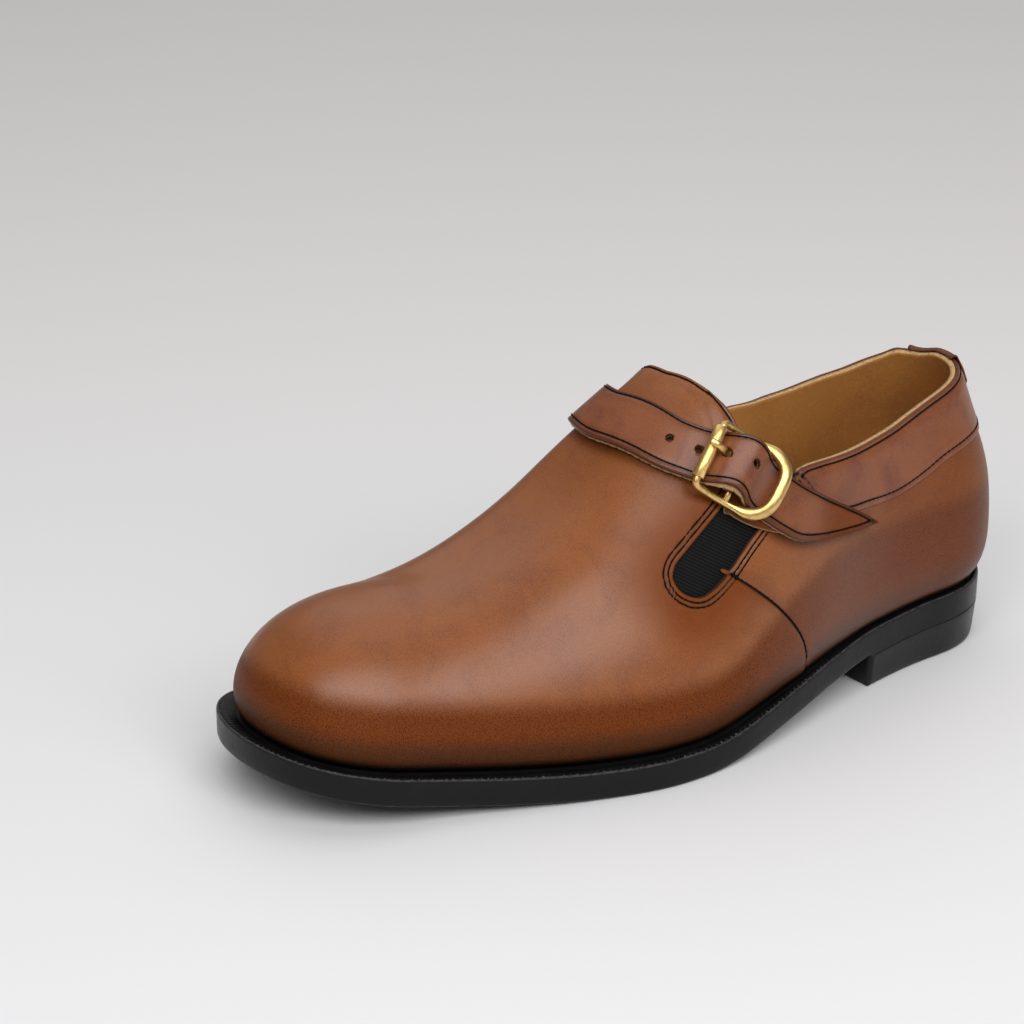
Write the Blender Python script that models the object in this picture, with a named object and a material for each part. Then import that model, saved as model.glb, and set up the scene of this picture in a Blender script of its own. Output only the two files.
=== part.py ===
# Monk strap shoe, left foot. Metres, +Z up, toe to -Y, outer side to +X.
import bpy
import bmesh
import numpy as np
from mathutils import Matrix

MM = 0.001

# sole
LENGTH = 290.0
SOLE_T = 9.4
OUTSOLE_T = 5.9
PIECE_GAP = 0.4
TOE_RUN = 37.3
TOE_POWER = 2.35
SEAT_RUN = 37.0
SEAT_POWER = 2.3
TOE_SPRING = 15.2
SPRING_RUN = 110.0
FLAT_END = 128.0
HEEL_BREAST = 217.5
BREAST_Z = 12.2
SEAT_Z = 14.4
WELT_WIDTH = 18.0
INSOLE_T = 2.4

# upper
WALL_T = 2.2
SPLIT = 150.0
BELLY_HEIGHT = 16.0
HEEL_BULGE = 2.7
BULGE_FROM = 225.0
BULGE_HEIGHT = 40.4
BULGE_SPAN = 18.6
BLEND_MID = 160.0
BLEND_SPAN = 50.0
BLEND_REACH = 14.0
INSOLE_GAP = 1.0
GORE_GAP = 0.6
GORE_T = 1.0
GORE_LAP = 4.0

# strap and buckle
STRAP_W = 16.8
STRAP_T = 2.6
CHAPE_W = 13.0
CHAPE_T = 1.6
CHAPE_SLOT = 5.6
CHAPE_LOW = np.array([
    # d, how far the part under the buckle reaches towards the lower rod
    [-2.2, 6.9], [0.2, 7.4], [1.6, 11.8], [5, 12.5], [10, 12.4], [14, 11.6], [18, 10.2], [26, 7.0]], float)
FRAME_HALF_W = 11.0
FRAME_FRONT = -13.2
FRAME_BACK = 12.8
ROD_R = 1.2
CRESCENT_R = 1.9
CENTRE_BAR = -0.5
CENTRE_H = 4.7
FRAME_BOW = 2.8
CRESCENT_BOW = 4.5
ROLLER_R = 2.2
ROLLER_BORE = 1.6
ROLLER_L = 17.0
PRONG_R = 0.85
BUCKLE_FOOT = (33.1, 13.3, 89.2)
BUCKLE_SHIFT = 0.0
STRAP_SIDE = 2.7
SIDE_SPAN = 6.0
STRAP_ROLL = 8.0
ROLL_SPAN = 14.0

# sole edge seen from above: station from the toe tip, half widths
OUTLINE = np.array([
    # t, lateral, medial
    [0, 30.7, 51.0], [20, 30.9, 51.8], [44, 35.6, 51.4], [68, 43.3, 50.1],
    [92, 51.3, 48.7], [118, 57.4, 47.0], [145, 56.3, 39.0], [172, 50.3, 29.5],
    [198, 43.0, 26.3], [222, 36.9, 28.0], [247, 33.0, 31.0], [270, 32.4, 32.4],
    [290, 33.0, 32.8]], float)

# width of the welt ledge outside the upper
LEDGE = np.array([
    # t, width
    [0, 6.6], [30, 6.6], [110, 6.6], [165, 4.6], [210, 2.6], [290, 2.2]], float)

# ribs of the last, from the feather line up to the instep ridge or the top
RIBS = np.array([
    # t, top_t, top_z, ridge_x, spread_lat, spread_med, lean, power_lat, power_med, belly
    [0, 56, 60.9, -9.5, 0, 0, 90, 2.25, 2.25, 2.0],
    [20, 60, 60.5, -9.2, 0, 0, 90, 2.20, 2.20, 2.0],
    [45, 72, 61.0, -8.3, 0, 0, 90, 2.10, 2.20, 2.0],
    [75, 93, 68.3, -6.5, 0, 0, 90, 2.00, 2.20, 2.2],
    [105, 118, 83.8, -5.0, 0, 0, 90, 1.90, 2.20, 2.5],
    [130, 141, 104.2, -4.0, 0, 0, 90, 1.85, 2.00, 2.5],
    [150, 158, 117.5, -2.0, 0, 0, 86, 1.85, 1.90, 2.5],
    [160, 163.5, 118.6, -1.5, 15, 13, 68, 1.90, 1.90, 2.5],
    [172, 174, 119.2, -1.0, 23, 21, 58, 1.95, 1.95, 2.5],
    [190, 192, 118.0, -0.5, 28, 25, 45, 2.00, 2.00, 2.5],
    [215, 216, 114.0, 0, 27, 25, 42, 2.00, 2.00, 3.0],
    [245, 243, 110.0, 0, 23, 23, 45, 2.00, 2.00, 3.5],
    [270, 263, 109.0, 0, 20, 20, 45, 2.00, 2.00, 4.3],
    [290, 274, 109.0, 0, 17, 17, 45, 2.00, 2.00, 4.9]], float)

# edge of the leather seen from the side: tongue, slot, topline, back
TRIM = np.array([
    # y, z
    [10.4, 116.0], [12.4, 115.7], [14.1, 113.9], [16.3, 111.0], [17.8, 107.4],
    [18.9, 102.5], [19.6, 97.0], [17.7, 90.8], [11.2, 84.3], [5.5, 79.9], [-10.3, 69.2],
    [-14.6, 66.0], [-16.3, 62.9], [-15.4, 59.5], [-12.4, 57.0], [-7.9, 55.9],
    [-3.9, 57.0], [2, 60.3], [12, 67.5], [18, 71.7], [30, 79.3], [35, 83.4],
    [38.5, 86.2], [45, 86.8], [54, 86.6], [66, 86.7], [75, 87.6], [84, 88.8],
    [95.7, 91.5], [108, 94.6], [120, 97.2], [128, 98.8]], float)
MEDIAL_DROP = np.array([
    # y, how much lower the inner topline runs
    [60, 0.0], [85, 1.8], [100, 3.6], [112, 5.1], [124, 2.2], [130, 0.0]], float)

# inner side of the tongue: how far its edge runs forward
TONGUE_SKEW = 0.36
TONGUE_TOP = 108.0
TONGUE_BLEND = 14.0

# slot beside the tongue, seen from the side
SLOT_FOOT = (-8.2, 60.7)
SLOT_DIR = (0.825, 0.565)
SLOT_R = 6.2
GORE_REACH = 31.0

# middle of the strap, close to the upper, from the inner quarter to the tip
STRAP_GUIDE = np.array([
    # x, y, z
    [-24.0, 41.5, 79.0], [-24.2, 30.0, 82.5], [-23.5, 18.0, 87.5], [-20.5, 7.1, 93.0],
    [-15.5, -1.4, 96.2], [-8.0, -6.5, 98.2], [1.5, -7.3, 99.6], [11.7, -5.1, 99.2],
    [19.9, -1.9, 96.5], [25.6, 6.3, 92.6], [31.8, 17.0, 85.6], [38.0, 29.0, 75.8],
    [39.3, 40.0, 69.3], [38.6, 53.3, 61.6], [37.3, 63.4, 55.0]], float)

# height of the middle of the strap over the upper, measured from the buckle
STRAP_RISE = np.array([
    # d, height
    [-110, 1.9], [-75, 2.3], [-58, 3.4], [-42, 3.4], [-30, 2.9], [-18, 3.1], [-13, 3.5], [-9, 5.7],
    [-5.2, 9.0], [-1.5, 10.5], [2, 9.8], [5.5, 6.6], [9, 4.1], [13, 4.0], [17, 4.0], [25, 3.8], [36, 3.2],
    [52, 4.6]], float)

# pointed tip: distance from the end of the strap, how far the lower edge reaches
STRAP_TIP = np.array([
    # left, lower_edge
    [0, -8.2], [9.8, -2.0], [24, 5.2], [34, 8.6], [42, 8.9]], float)

# chape and prong in the middle plane of the buckle
CHAPE_PATH = np.array([
    # d, height
    [26, 1.25], [14, 1.5], [5, 1.8], [1.5, 2.0], [-0.5, 2.2], [-2.3, 3.0], [-2.9, 4.7],
    [-2.3, 6.4], [-0.5, 7.15], [1.6, 6.6], [3.6, 4.9], [5.6, 3.6]], float)
PRONG_PATH = np.array([
    # d, height
    [-2.4, 4.7], [-5.2, 5.2], [-7.7, 7.2], [-10.4, 9.8], [-13.2, 11.0], [-15.5, 10.6]], float)


def curve(x, xs, ys):
    """Smooth line through the rows (xs, ys), flat beyond both ends."""
    x = np.clip(x, xs[0], xs[-1])
    h = np.diff(xs)
    d = np.diff(ys) / h
    m = np.concatenate([d[:1], (d[:-1] * h[1:] + d[1:] * h[:-1]) / (h[:-1] + h[1:]), d[-1:]])
    i = np.clip(np.searchsorted(xs, x, side="right") - 1, 0, len(h) - 1)
    q = (x - xs[i]) / h[i]
    rise = (3 - 2 * q) * q * q
    return ys[i] * (1 - rise) + ys[i + 1] * rise + h[i] * (m[i] * q * (1 - q) ** 2 - m[i + 1] * q * q * (1 - q))


def station(u):
    """Distance from the toe tip for u, 0 at the toe and 1 at the heel back."""
    return LENGTH * (1 - np.cos(np.pi * u)) / 2


def edge(u, side):
    """Sole edge from above, side +1 lateral or -1 medial."""
    t = station(u)
    centre = curve(t, OUTLINE[:, 0], (OUTLINE[:, 1] - OUTLINE[:, 2]) / 2)
    half = curve(t, OUTLINE[:, 0], (OUTLINE[:, 1] + OUTLINE[:, 2]) / 2)
    toe = np.sqrt(1 - np.clip(1 - t / TOE_RUN, 0, 1) ** TOE_POWER)
    seat = np.sqrt(1 - np.clip(1 - (LENGTH - t) / SEAT_RUN, 0, 1) ** SEAT_POWER)
    return np.stack([centre + side * half * toe * seat, t - LENGTH / 2], -1)


def inset_edge(u, side, inset):
    """Sole edge moved inward by inset millimetres."""
    e = 1e-3
    a = np.where((u < e)[:, None], edge(np.abs(u - e), -side), edge(np.maximum(u - e, 0), side))
    b = np.where((u > 1 - e)[:, None], edge(1 - np.abs(1 - u - e), -side), edge(np.minimum(u + e, 1), side))
    d = (b - a) * side
    n = np.stack([d[:, 1], -d[:, 0]], -1) / np.linalg.norm(d, axis=1)[:, None]
    return edge(u, side) - n * (inset * np.ones_like(u))[:, None]


def sole_z(y):
    """Height of the underside of the outsole."""
    t = y + LENGTH / 2
    toe = TOE_SPRING * np.clip(1 - t / SPRING_RUN, 0, 1) ** 2
    q = np.clip((t - FLAT_END) / (HEEL_BREAST - FLAT_END), 0, 1)
    w = np.clip(q / 0.35, 0, 1)
    waist = BREAST_Z * q * (0.5 * w * w * (3 - 2 * w) + 0.5 * q * (3 - 2 * q))
    seat = (SEAT_Z - BREAST_Z) * np.clip((t - HEEL_BREAST) / (LENGTH - HEEL_BREAST), 0, 1)
    return toe + waist + seat


def feather(u, side, extra=0.0):
    """Line where the upper meets the welt, moved inward by extra."""
    return inset_edge(u, side, curve(station(u), LEDGE[:, 0], LEDGE[:, 1]) + extra)


def rib_value(t, j):
    return curve(t, RIBS[:, 0], RIBS[:, j])


def spread(t, j):
    """Half width of the leg opening, round at its front."""
    k = int(np.searchsorted(RIBS[:, 0], SPLIT))
    wide = curve(np.maximum(t, RIBS[k + 1, 0]), RIBS[k + 1:, 0], RIBS[k + 1:, j])
    q = np.clip((t - SPLIT) / (RIBS[k + 1, 0] - SPLIT), 0, 1)
    back = np.sqrt(1 - np.clip(1 - (LENGTH - t) / SEAT_RUN, 0, 1) ** SEAT_POWER)
    return np.where(q < 1, RIBS[k + 1, j] * np.sqrt(1 - (1 - q) ** 2), wide * back)


def rib_point(u, v, side):
    """Rib of the last at u, v from foot to top."""
    t = station(u)
    foot = feather(u, side)
    foot_z = sole_z(foot[:, 1]) + SOLE_T + PIECE_GAP
    top_x = rib_value(t, 3) + side * spread(t, 4 if side > 0 else 5)
    top = np.stack([top_x, rib_value(t, 1) - LENGTH / 2], -1)
    lean = np.radians(rib_value(t, 6))
    power = 2 / rib_value(t, 7 if side > 0 else 8)
    c = np.clip(np.cos(v * lean), 0, 1) ** power
    s = np.clip(np.sin(v * lean), 0, 1) ** power
    across = (1 - c) / (1 - np.clip(np.cos(lean), 0, 1) ** power)
    up = s / np.sin(lean) ** power
    height = (rib_value(t, 2) - foot_z) * up
    push = rib_value(t, 9) * (height / BELLY_HEIGHT) * np.exp(1 - height / BELLY_HEIGHT) * (1 - v ** 4)
    heel = np.clip((t - BULGE_FROM) / (LENGTH - BULGE_FROM), 0, 1)
    round_off = np.exp(-((height - BULGE_HEIGHT) / BULGE_SPAN) ** 2) * (1 - v ** 4)
    push = push + HEEL_BULGE * heel * heel * (3 - 2 * heel) * round_off
    d = foot - top
    d /= np.linalg.norm(d, axis=1)[:, None]
    xy = foot + (top - foot) * across[:, None] + d * push[:, None]
    return np.concatenate([xy, (foot_z + height)[:, None]], 1)


def last_point(u, v, side):
    """Outer surface of the upper: ribs averaged along the shoe around the throat."""
    t = station(u)
    reach = BLEND_REACH * np.clip(1 - np.abs(t - BLEND_MID) / BLEND_SPAN, 0, 1)
    total = 0
    for k in (-1, -0.66, -0.33, 0, 0.33, 0.66, 1):
        near = np.arccos(np.clip(1 - 2 * (t + k * reach) / LENGTH, -1, 1)) / np.pi
        total = total + (1 - 0.7 * abs(k)) * rib_point(near, v, side)
    return total / (7 - 0.7 * 3.98)


def last_normal(u, v, side):
    """Outward unit normal of the last surface."""
    e = 2e-3
    ua, ub = np.clip(u - e, 0, 1), np.clip(u + e, 0, 1)
    va, vb = np.clip(v - e, 0, 1), np.clip(v + e, 0, 1)
    du = last_point(ub, v, side) - last_point(ua, v, side)
    dv = last_point(u, vb, side) - last_point(u, va, side)
    n = np.cross(du, dv) * side
    return n / np.linalg.norm(n, axis=1)[:, None]


def material(name, colour, roughness, metallic=0.0):
    m = bpy.data.materials.new(name)
    m.use_nodes = True
    b = m.node_tree.nodes["Principled BSDF"]
    b.inputs["Base Color"].default_value = (*colour, 1.0)
    b.inputs["Roughness"].default_value = roughness
    b.inputs["Metallic"].default_value = metallic
    m.diffuse_color = (*colour, 1.0)
    return m


def solid(name, verts, faces, mat, smooth=True):
    """One closed body from millimetre points and faces, turned outward."""
    mesh = bpy.data.meshes.new(name)
    mesh.from_pydata([tuple(p) for p in np.asarray(verts) * MM], [], [tuple(int(i) for i in f) for f in faces])
    bm = bmesh.new()
    bm.from_mesh(mesh)
    bmesh.ops.remove_doubles(bm, verts=bm.verts, dist=1e-6)
    bmesh.ops.dissolve_degenerate(bm, edges=bm.edges, dist=1e-7)
    bmesh.ops.triangulate(bm, faces=bm.faces)
    bmesh.ops.recalc_face_normals(bm, faces=bm.faces)
    bm.to_mesh(mesh)
    bm.free()
    for p in mesh.polygons:
        p.use_smooth = smooth
    mesh.materials.append(mat)
    ob = bpy.data.objects.new(name, mesh)
    bpy.context.collection.objects.link(ob)
    return ob


def cut(target, cutter, operation="DIFFERENCE"):
    """Take the cutter out of the target for good, or join it on."""
    cutter.hide_render = True
    cutter.display_type = "WIRE"
    mod = target.modifiers.new("cut", "BOOLEAN")
    mod.operation = operation
    mod.solver = "EXACT"
    mod.object = cutter
    graph = bpy.context.evaluated_depsgraph_get()
    mesh = bpy.data.meshes.new_from_object(target.evaluated_get(graph))
    target.modifiers.clear()
    target.data = mesh
    bpy.data.objects.remove(cutter)


def ring(n, inset):
    """Closed loop of the sole edge: toe tip, lateral side, heel back, medial side."""
    u = np.linspace(0, 1, n + 1)
    lat = inset_edge(u, 1, inset)
    med = inset_edge(u, -1, inset)
    return np.concatenate([lat, med[-2:0:-1]])


def shell_faces(rings, count, first_cap=True, last_cap=True, closed=False):
    """Faces joining loops of equal length, with caps of strips across the loop."""
    faces = []
    span = rings if closed else rings - 1
    for r in range(span):
        a, b = r * count, ((r + 1) % rings) * count
        for i in range(count):
            j = (i + 1) % count
            faces.append((a + i, a + j, b + j, b + i))
    caps = []
    if first_cap and not closed:
        caps.append(0)
    if last_cap and not closed:
        caps.append((rings - 1) * count)
    for base in caps:
        for i in range(count // 2):
            quad = [base + i, base + i + 1, base + (count - i - 1) % count, base + (count - i) % count]
            faces.append(tuple(dict.fromkeys(quad)))
    return faces


def sole_loops(n, rows):
    """Loops of the sole edge at (inset, height above the underside)."""
    out = []
    for inset, up in rows:
        p = ring(n, inset)
        out.append(np.column_stack([p, sole_z(p[:, 1]) + up]))
    return np.concatenate(out)


def build_outsole(mat):
    rows = [(0.8, 0.0), (0.0, 0.8), (0.0, OUTSOLE_T)]
    n = 44
    return solid("outsole", sole_loops(n, rows), shell_faces(len(rows), 2 * n), mat)


def build_welt(mat):
    low = OUTSOLE_T + PIECE_GAP
    rows = [(0.0, low), (0.0, SOLE_T - 0.5), (0.5, SOLE_T), (WELT_WIDTH, SOLE_T), (WELT_WIDTH, low)]
    n = 44
    return solid("welt", sole_loops(n, rows), shell_faces(len(rows), 2 * n, closed=True), mat)


def build_heel(mat):
    """Block under the seat, cut square across at the breast."""
    breast_y = HEEL_BREAST - LENGTH / 2
    n = 14
    loops = []
    for inset, up in ((0.3, 1.0), (1.2, 0.6 / SEAT_Z), (1.8, 0.0)):
        u0 = 0.5
        for _ in range(30):
            y = inset_edge(np.array([u0]), 1, inset)[0, 1]
            u0 += (breast_y - y) / (LENGTH * np.pi / 2)
        u = np.linspace(u0, 1, n + 1)
        lat = inset_edge(u, 1, inset)
        med = inset_edge(u, -1, inset)[-2::-1]
        p = np.concatenate([lat, med])
        p[0, 1] = breast_y
        p[-1, 1] = breast_y
        top = sole_z(p[:, 1]) - PIECE_GAP
        loops.append(np.column_stack([p, top * up]))
    count = 2 * n + 1
    verts = np.concatenate(loops)
    faces = []
    for r in range(2):
        for i in range(count):
            j = (i + 1) % count
            faces.append((r * count + i, r * count + j, (r + 1) * count + j, (r + 1) * count + i))
    for base in (0, 2 * count):
        for i in range(n):
            quad = [base + i, base + i + 1, base + count - 2 - i, base + count - 1 - i]
            faces.append(tuple(dict.fromkeys(quad)))
    return solid("heel", verts, faces, mat)


def build_insole(mat):
    n = 44
    u = np.linspace(0, 1, n + 1)
    loops = []
    for up in (0.0, INSOLE_T):
        lat = feather(u, 1, WALL_T + INSOLE_GAP)
        med = feather(u, -1, WALL_T + INSOLE_GAP)
        p = np.concatenate([lat, med[-2:0:-1]])
        loops.append(np.column_stack([p, sole_z(p[:, 1]) + SOLE_T + PIECE_GAP + up]))
    return solid("insole", np.concatenate(loops), shell_faces(2, 2 * n), mat)


def upper_samples():
    """Values of u down the feather line, one of them at the head of the leg opening."""
    u = np.concatenate([np.linspace(0, 0.3, 13), np.linspace(0.3, 0.62, 19)[1:], np.linspace(0.62, 1, 15)[1:]])
    k = int(np.argmin(np.abs(station(u) - SPLIT)))
    u[k] = np.arccos(1 - 2 * SPLIT / LENGTH) / np.pi
    return u, k


def wall(us, vs, side, depth):
    """Last surface moved inward by depth, level at the foot."""
    u, v = np.meshgrid(us, vs, indexing="ij")
    p = last_point(u.ravel(), v.ravel(), side)
    n = last_normal(u.ravel(), v.ravel(), side)
    n[:, 2] *= np.clip(v.ravel() * 12, 0, 1)
    n /= np.linalg.norm(n, axis=1)[:, None]
    return p.reshape(len(us), len(vs), 3), (p - n * depth).reshape(len(us), len(vs), 3)


def build_upper(mat):
    """Hollow wall from the feather line to above the topline, then trimmed."""
    us, split = upper_samples()
    vs = np.linspace(0, 1, 15)
    nu, nv = len(us), len(vs)
    skins = {side: wall(us, vs, side, WALL_T) for side in (1, -1)}
    for k in (0, 1):
        lat, med = skins[1][k], skins[-1][k]
        for i in range(split + 1):
            mid = (lat[i, -1] + med[i, -1]) / 2
            lat[i, -1] = mid
            med[i, -1] = mid
        for i in (0, nu - 1):
            mid = (lat[i] + med[i]) / 2
            lat[i] = mid
            med[i] = mid
    blocks = [skins[1][0], skins[1][1], skins[-1][0], skins[-1][1]]
    verts = np.concatenate([b.reshape(-1, 3) for b in blocks])
    size = nu * nv
    faces = []
    for b in range(4):
        for i in range(nu - 1):
            for j in range(nv - 1):
                a = b * size + i * nv + j
                faces.append((a, a + nv, a + nv + 1, a + 1))
    for b in (0, 2):
        for i in range(nu - 1):
            a = b * size + i * nv
            faces.append((a, a + nv, a + nv + size, a + size))
            if i >= split:
                t = a + nv - 1
                faces.append((t, t + nv, t + nv + size, t + size))
    return solid("upper", verts, faces, mat)


def prism(outline, x0, x1, name, skew=0.0):
    """Block with the given outline in the YZ plane, from x0 to x1, leaning by skew."""
    n = len(outline)
    verts = [(x, y + skew * x, z) for x in (x0, x1) for y, z in outline]
    faces = [tuple(range(n)), tuple(range(2 * n - 1, n - 1, -1))]
    faces += [(i, (i + 1) % n, n + (i + 1) % n, n + i) for i in range(n)]
    return solid(name, verts, faces, bpy.data.materials[0])


def along(rows, count):
    """Evenly spaced points on the smooth line through the rows."""
    d = np.concatenate([[0], np.cumsum(np.linalg.norm(np.diff(rows, axis=0), axis=1))])
    q = np.linspace(0, d[-1], count)
    return np.stack([curve(q, d, rows[:, k]) for k in range(rows.shape[1])], -1)


def trim_upper(upper):
    """Open the wall along the tongue, the slots and the topline on both sides."""
    line = along(TRIM, 72)
    inner = line.copy()
    inner[:, 1] -= curve(line[:, 0], MEDIAL_DROP[:, 0], MEDIAL_DROP[:, 1])
    x = last_point(*find_last(inner[:, 0], inner[:, 1], -1), -1)[:, 0]
    below = np.clip((TONGUE_TOP - inner[:, 1]) / TONGUE_BLEND, 0, 1)
    inner[:, 0] -= TONGUE_SKEW * x * below * below * (3 - 2 * below)
    for x0, x1, edge_line, skew in ((-1.0, 80.0, line, 0.0), (-80.0, 0.0, inner, TONGUE_SKEW)):
        start, end = edge_line[0], edge_line[-1]
        box = [(180.0, end[1] + 0.5), (180.0, 140.0), (start[0] - 2.0, 140.0), (start[0] - 2.0, start[1] + 4.0)]
        cut(upper, prism(np.concatenate([edge_line, box]), x0, x1, "opening", skew))


def find_last(y, z, side):
    """Values (u, v) of the last surface seen from the side at (y, z)."""
    u = np.arccos(np.clip(1 - 2 * (y + LENGTH / 2) / LENGTH, -0.95, 0.95)) / np.pi
    v = np.clip((z - 20) / 100, 0.05, 0.95)
    e = 1e-3
    for _ in range(25):
        p = last_point(u, v, side)
        pu = (last_point(u + e, v, side) - p) / e
        pv = (last_point(u, v + e, side) - p) / e
        ry, rz = y - p[:, 1], z - p[:, 2]
        det = pu[:, 1] * pv[:, 2] - pu[:, 2] * pv[:, 1]
        du = (ry * pv[:, 2] - rz * pv[:, 1]) / det
        dv = (rz * pu[:, 1] - ry * pu[:, 2]) / det
        u = np.clip(u + np.clip(du, -0.05, 0.05), 0.02, 0.98)
        v = np.clip(v + np.clip(dv, -0.1, 0.1), 0.01, 0.985)
    return u, v


def build_gore(name, side, mat):
    """Elastic panel lying behind the slot, wider than it by the lap."""
    reach = SLOT_R + GORE_LAP
    p = np.concatenate([-reach * np.cos(np.linspace(0.25, np.pi / 2, 6)), np.linspace(0, GORE_REACH, 9)[1:]])
    half = np.where(p < 0, np.sqrt(np.maximum(reach ** 2 - p ** 2, 0)), reach - 3.4 * np.clip(p / GORE_REACH, 0, 1) ** 2)
    q = np.linspace(-1, 1, 8)
    pp = np.repeat(p, len(q))
    qq = (half[:, None] * q[None, :]).ravel()
    y = SLOT_FOOT[0] + pp * SLOT_DIR[0] - qq * SLOT_DIR[1]
    z = SLOT_FOOT[1] + pp * SLOT_DIR[1] + qq * SLOT_DIR[0]
    u, v = find_last(y, z, side)
    foot = last_point(u, v, side)
    n = last_normal(u, v, side)
    top = foot - n * (WALL_T + GORE_GAP)
    low = top - n * GORE_T
    rows, cols = len(p), len(q)
    size = rows * cols
    faces = []
    for i in range(rows - 1):
        for j in range(cols - 1):
            a = i * cols + j
            faces.append((a, a + 1, a + cols + 1, a + cols))
            faces.append((size + a, size + a + cols, size + a + cols + 1, size + a + 1))
    rim = [j for j in range(cols)] + [i * cols + cols - 1 for i in range(1, rows)]
    rim += [(rows - 1) * cols + j for j in range(cols - 2, -1, -1)] + [i * cols for i in range(rows - 2, 0, -1)]
    for a, b in zip(rim, rim[1:] + rim[:1]):
        faces.append((a, b, size + b, size + a))
    return solid(name, np.concatenate([top, low]), faces, mat)


def strap_frame(count):
    """Middle line of the strap on the upper with along, across and outward directions."""
    guide = along(STRAP_GUIDE, count)
    us, vs = np.linspace(0.2, 0.9, 160), np.linspace(0.15, 1, 70)
    u, v = np.meshgrid(us, vs, indexing="ij")
    cloud, normals = [], []
    for side in (1, -1):
        cloud.append(last_point(u.ravel(), v.ravel(), side))
        normals.append(last_normal(u.ravel(), v.ravel(), side))
    cloud, normals = np.concatenate(cloud), np.concatenate(normals)
    foot, out = [], []
    for g in guide:
        d = np.linalg.norm(cloud - g, axis=1)
        near = np.argsort(d)[:24]
        n = normals[near].mean(0)
        n /= np.linalg.norm(n)
        foot.append(g - n * ((g - cloud[near[0]]) @ normals[near[0]]))
        out.append(n)
    foot, out = np.array(foot), np.array(out)
    k = max(2, count // 24)
    kernel = np.hanning(2 * k + 3)[1:-1]
    kernel /= kernel.sum()
    pad = lambda a: np.concatenate([2 * a[:1] - a[k:0:-1], a, 2 * a[-1:] - a[-2:-k - 2:-1]])
    foot = np.stack([np.convolve(pad(foot)[:, j], kernel, "valid") for j in range(3)], -1)
    out = np.stack([np.convolve(pad(out)[:, j], kernel, "valid") for j in range(3)], -1)
    tangent = np.gradient(foot, axis=0)
    tangent /= np.linalg.norm(tangent, axis=1)[:, None]
    across = np.cross(out, tangent)
    across /= np.linalg.norm(across, axis=1)[:, None]
    across *= np.sign(across[:, 2].mean())
    out = np.cross(across, tangent)
    out *= np.sign((out * (foot - [0, 40, 60])).sum(1).mean())
    s = np.concatenate([[0], np.cumsum(np.linalg.norm(np.diff(foot, axis=0), axis=1))])
    roll = np.radians(STRAP_ROLL) * np.exp(-((s - nearest(foot, tangent, s)) / ROLL_SPAN) ** 2)[:, None]
    turned = across * np.cos(roll) + out * np.sin(roll)
    return foot, tangent, turned, np.cross(turned, tangent) * np.sign((np.cross(turned, tangent) * out).sum(1))[:, None], s


def nearest(foot, tangent, s):
    """Distance along the strap line of the point by the buckle."""
    to = np.array(BUCKLE_FOOT) - foot
    i = int(np.argmin(np.linalg.norm(to, axis=1)))
    return s[i] + to[i] @ tangent[i]


def buckle_place():
    """Origin and axes of the buckle on the strap line."""
    foot, tangent, across, out, s = strap_frame(120)
    d = nearest(foot, tangent, s)
    at = [np.array([np.interp(d, s, a[:, k]) for k in range(3)]) for a in (foot, tangent, across, out)]
    return (*at, d)


def place(points, frame):
    """Buckle coordinates (along, across, height) to the shoe."""
    origin, tangent, across, out, _ = frame
    p = np.asarray(points, float)
    return origin + p[:, :1] * tangent + (p[:, 1:2] + BUCKLE_SHIFT) * across + p[:, 2:3] * out


def side_way(d):
    """How far the strap and its loop lie towards the upper rod of the buckle."""
    return STRAP_SIDE * np.exp(-((d + 1.5) / SIDE_SPAN) ** 2)


def place_along(points, frame):
    """Strap coordinates (along, across, height), following the curve of the upper."""
    foot, tangent, across, out, s = strap_frame(120)
    p = np.asarray(points, float)
    d = p[:, 0] + frame[4]
    at = [np.stack([np.interp(d, s, a[:, k]) for k in range(3)], -1) for a in (foot, across, out)]
    return at[0] + (p[:, 1] + side_way(p[:, 0]))[:, None] * at[1] + p[:, 2:3] * at[2]


def sweep(rings, closed=False):
    """Vertices and faces of a tube from loops of equal length."""
    count = len(rings[0])
    verts = np.concatenate(rings)
    faces = []
    n = len(rings)
    for r in range(n if closed else n - 1):
        a, b = r * count, ((r + 1) % n) * count
        for i in range(count):
            j = (i + 1) % count
            faces.append((a + i, a + j, b + j, b + i))
    if not closed:
        faces.append(tuple(range(count))[::-1])
        faces.append(tuple(range((n - 1) * count, n * count)))
    return verts, faces


def block(name, a, b, half, low, high, mat, frame):
    """Box in buckle coordinates: along a to b, across half each way from the prong, low to high."""
    p = [(x, y + STRAP_SIDE, z) for z in (low, high) for x, y in ((a, -half), (b, -half), (b, half), (a, half))]
    faces = [(0, 1, 2, 3), (4, 5, 6, 7), (0, 1, 5, 4), (1, 2, 6, 5), (2, 3, 7, 6), (3, 0, 4, 7)]
    return solid(name, place(p, frame), faces, mat)


def build_strap(mat, frame):
    """Band over the instep, through the buckle, with a pointed tip."""
    count = 56
    foot, tangent, across, out, s = strap_frame(count)
    d = s - frame[4]
    rise = curve(d, STRAP_RISE[:, 0], STRAP_RISE[:, 1])
    high = STRAP_W / 2
    low = -curve(s[-1] - s, STRAP_TIP[:, 0], STRAP_TIP[:, 1])
    t = STRAP_T / 2
    rings = []
    for i in range(count):
        top = high - 0.5 * (i == count - 1)
        prof = [(low[i] + 0.4, -t), (0.5 * (low[i] + top), -t), (top - 0.4, -t), (top, -t + 0.4), (top, t - 0.4),
                (top - 0.4, t), (0.5 * (low[i] + top), t), (low[i] + 0.4, t), (low[i], t - 0.4), (low[i], -t + 0.4)]
        way = side_way(d[i])
        rings.append(np.array([foot[i] + across[i] * (a + way) + out[i] * (rise[i] + h) for a, h in prof]))
    verts, faces = sweep(rings)
    strap = solid("strap", verts, faces, mat)
    cut(strap, block("slot", -10.2, -5.2, 1.5, 1.0, 14.0, mat, frame))
    return strap


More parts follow.
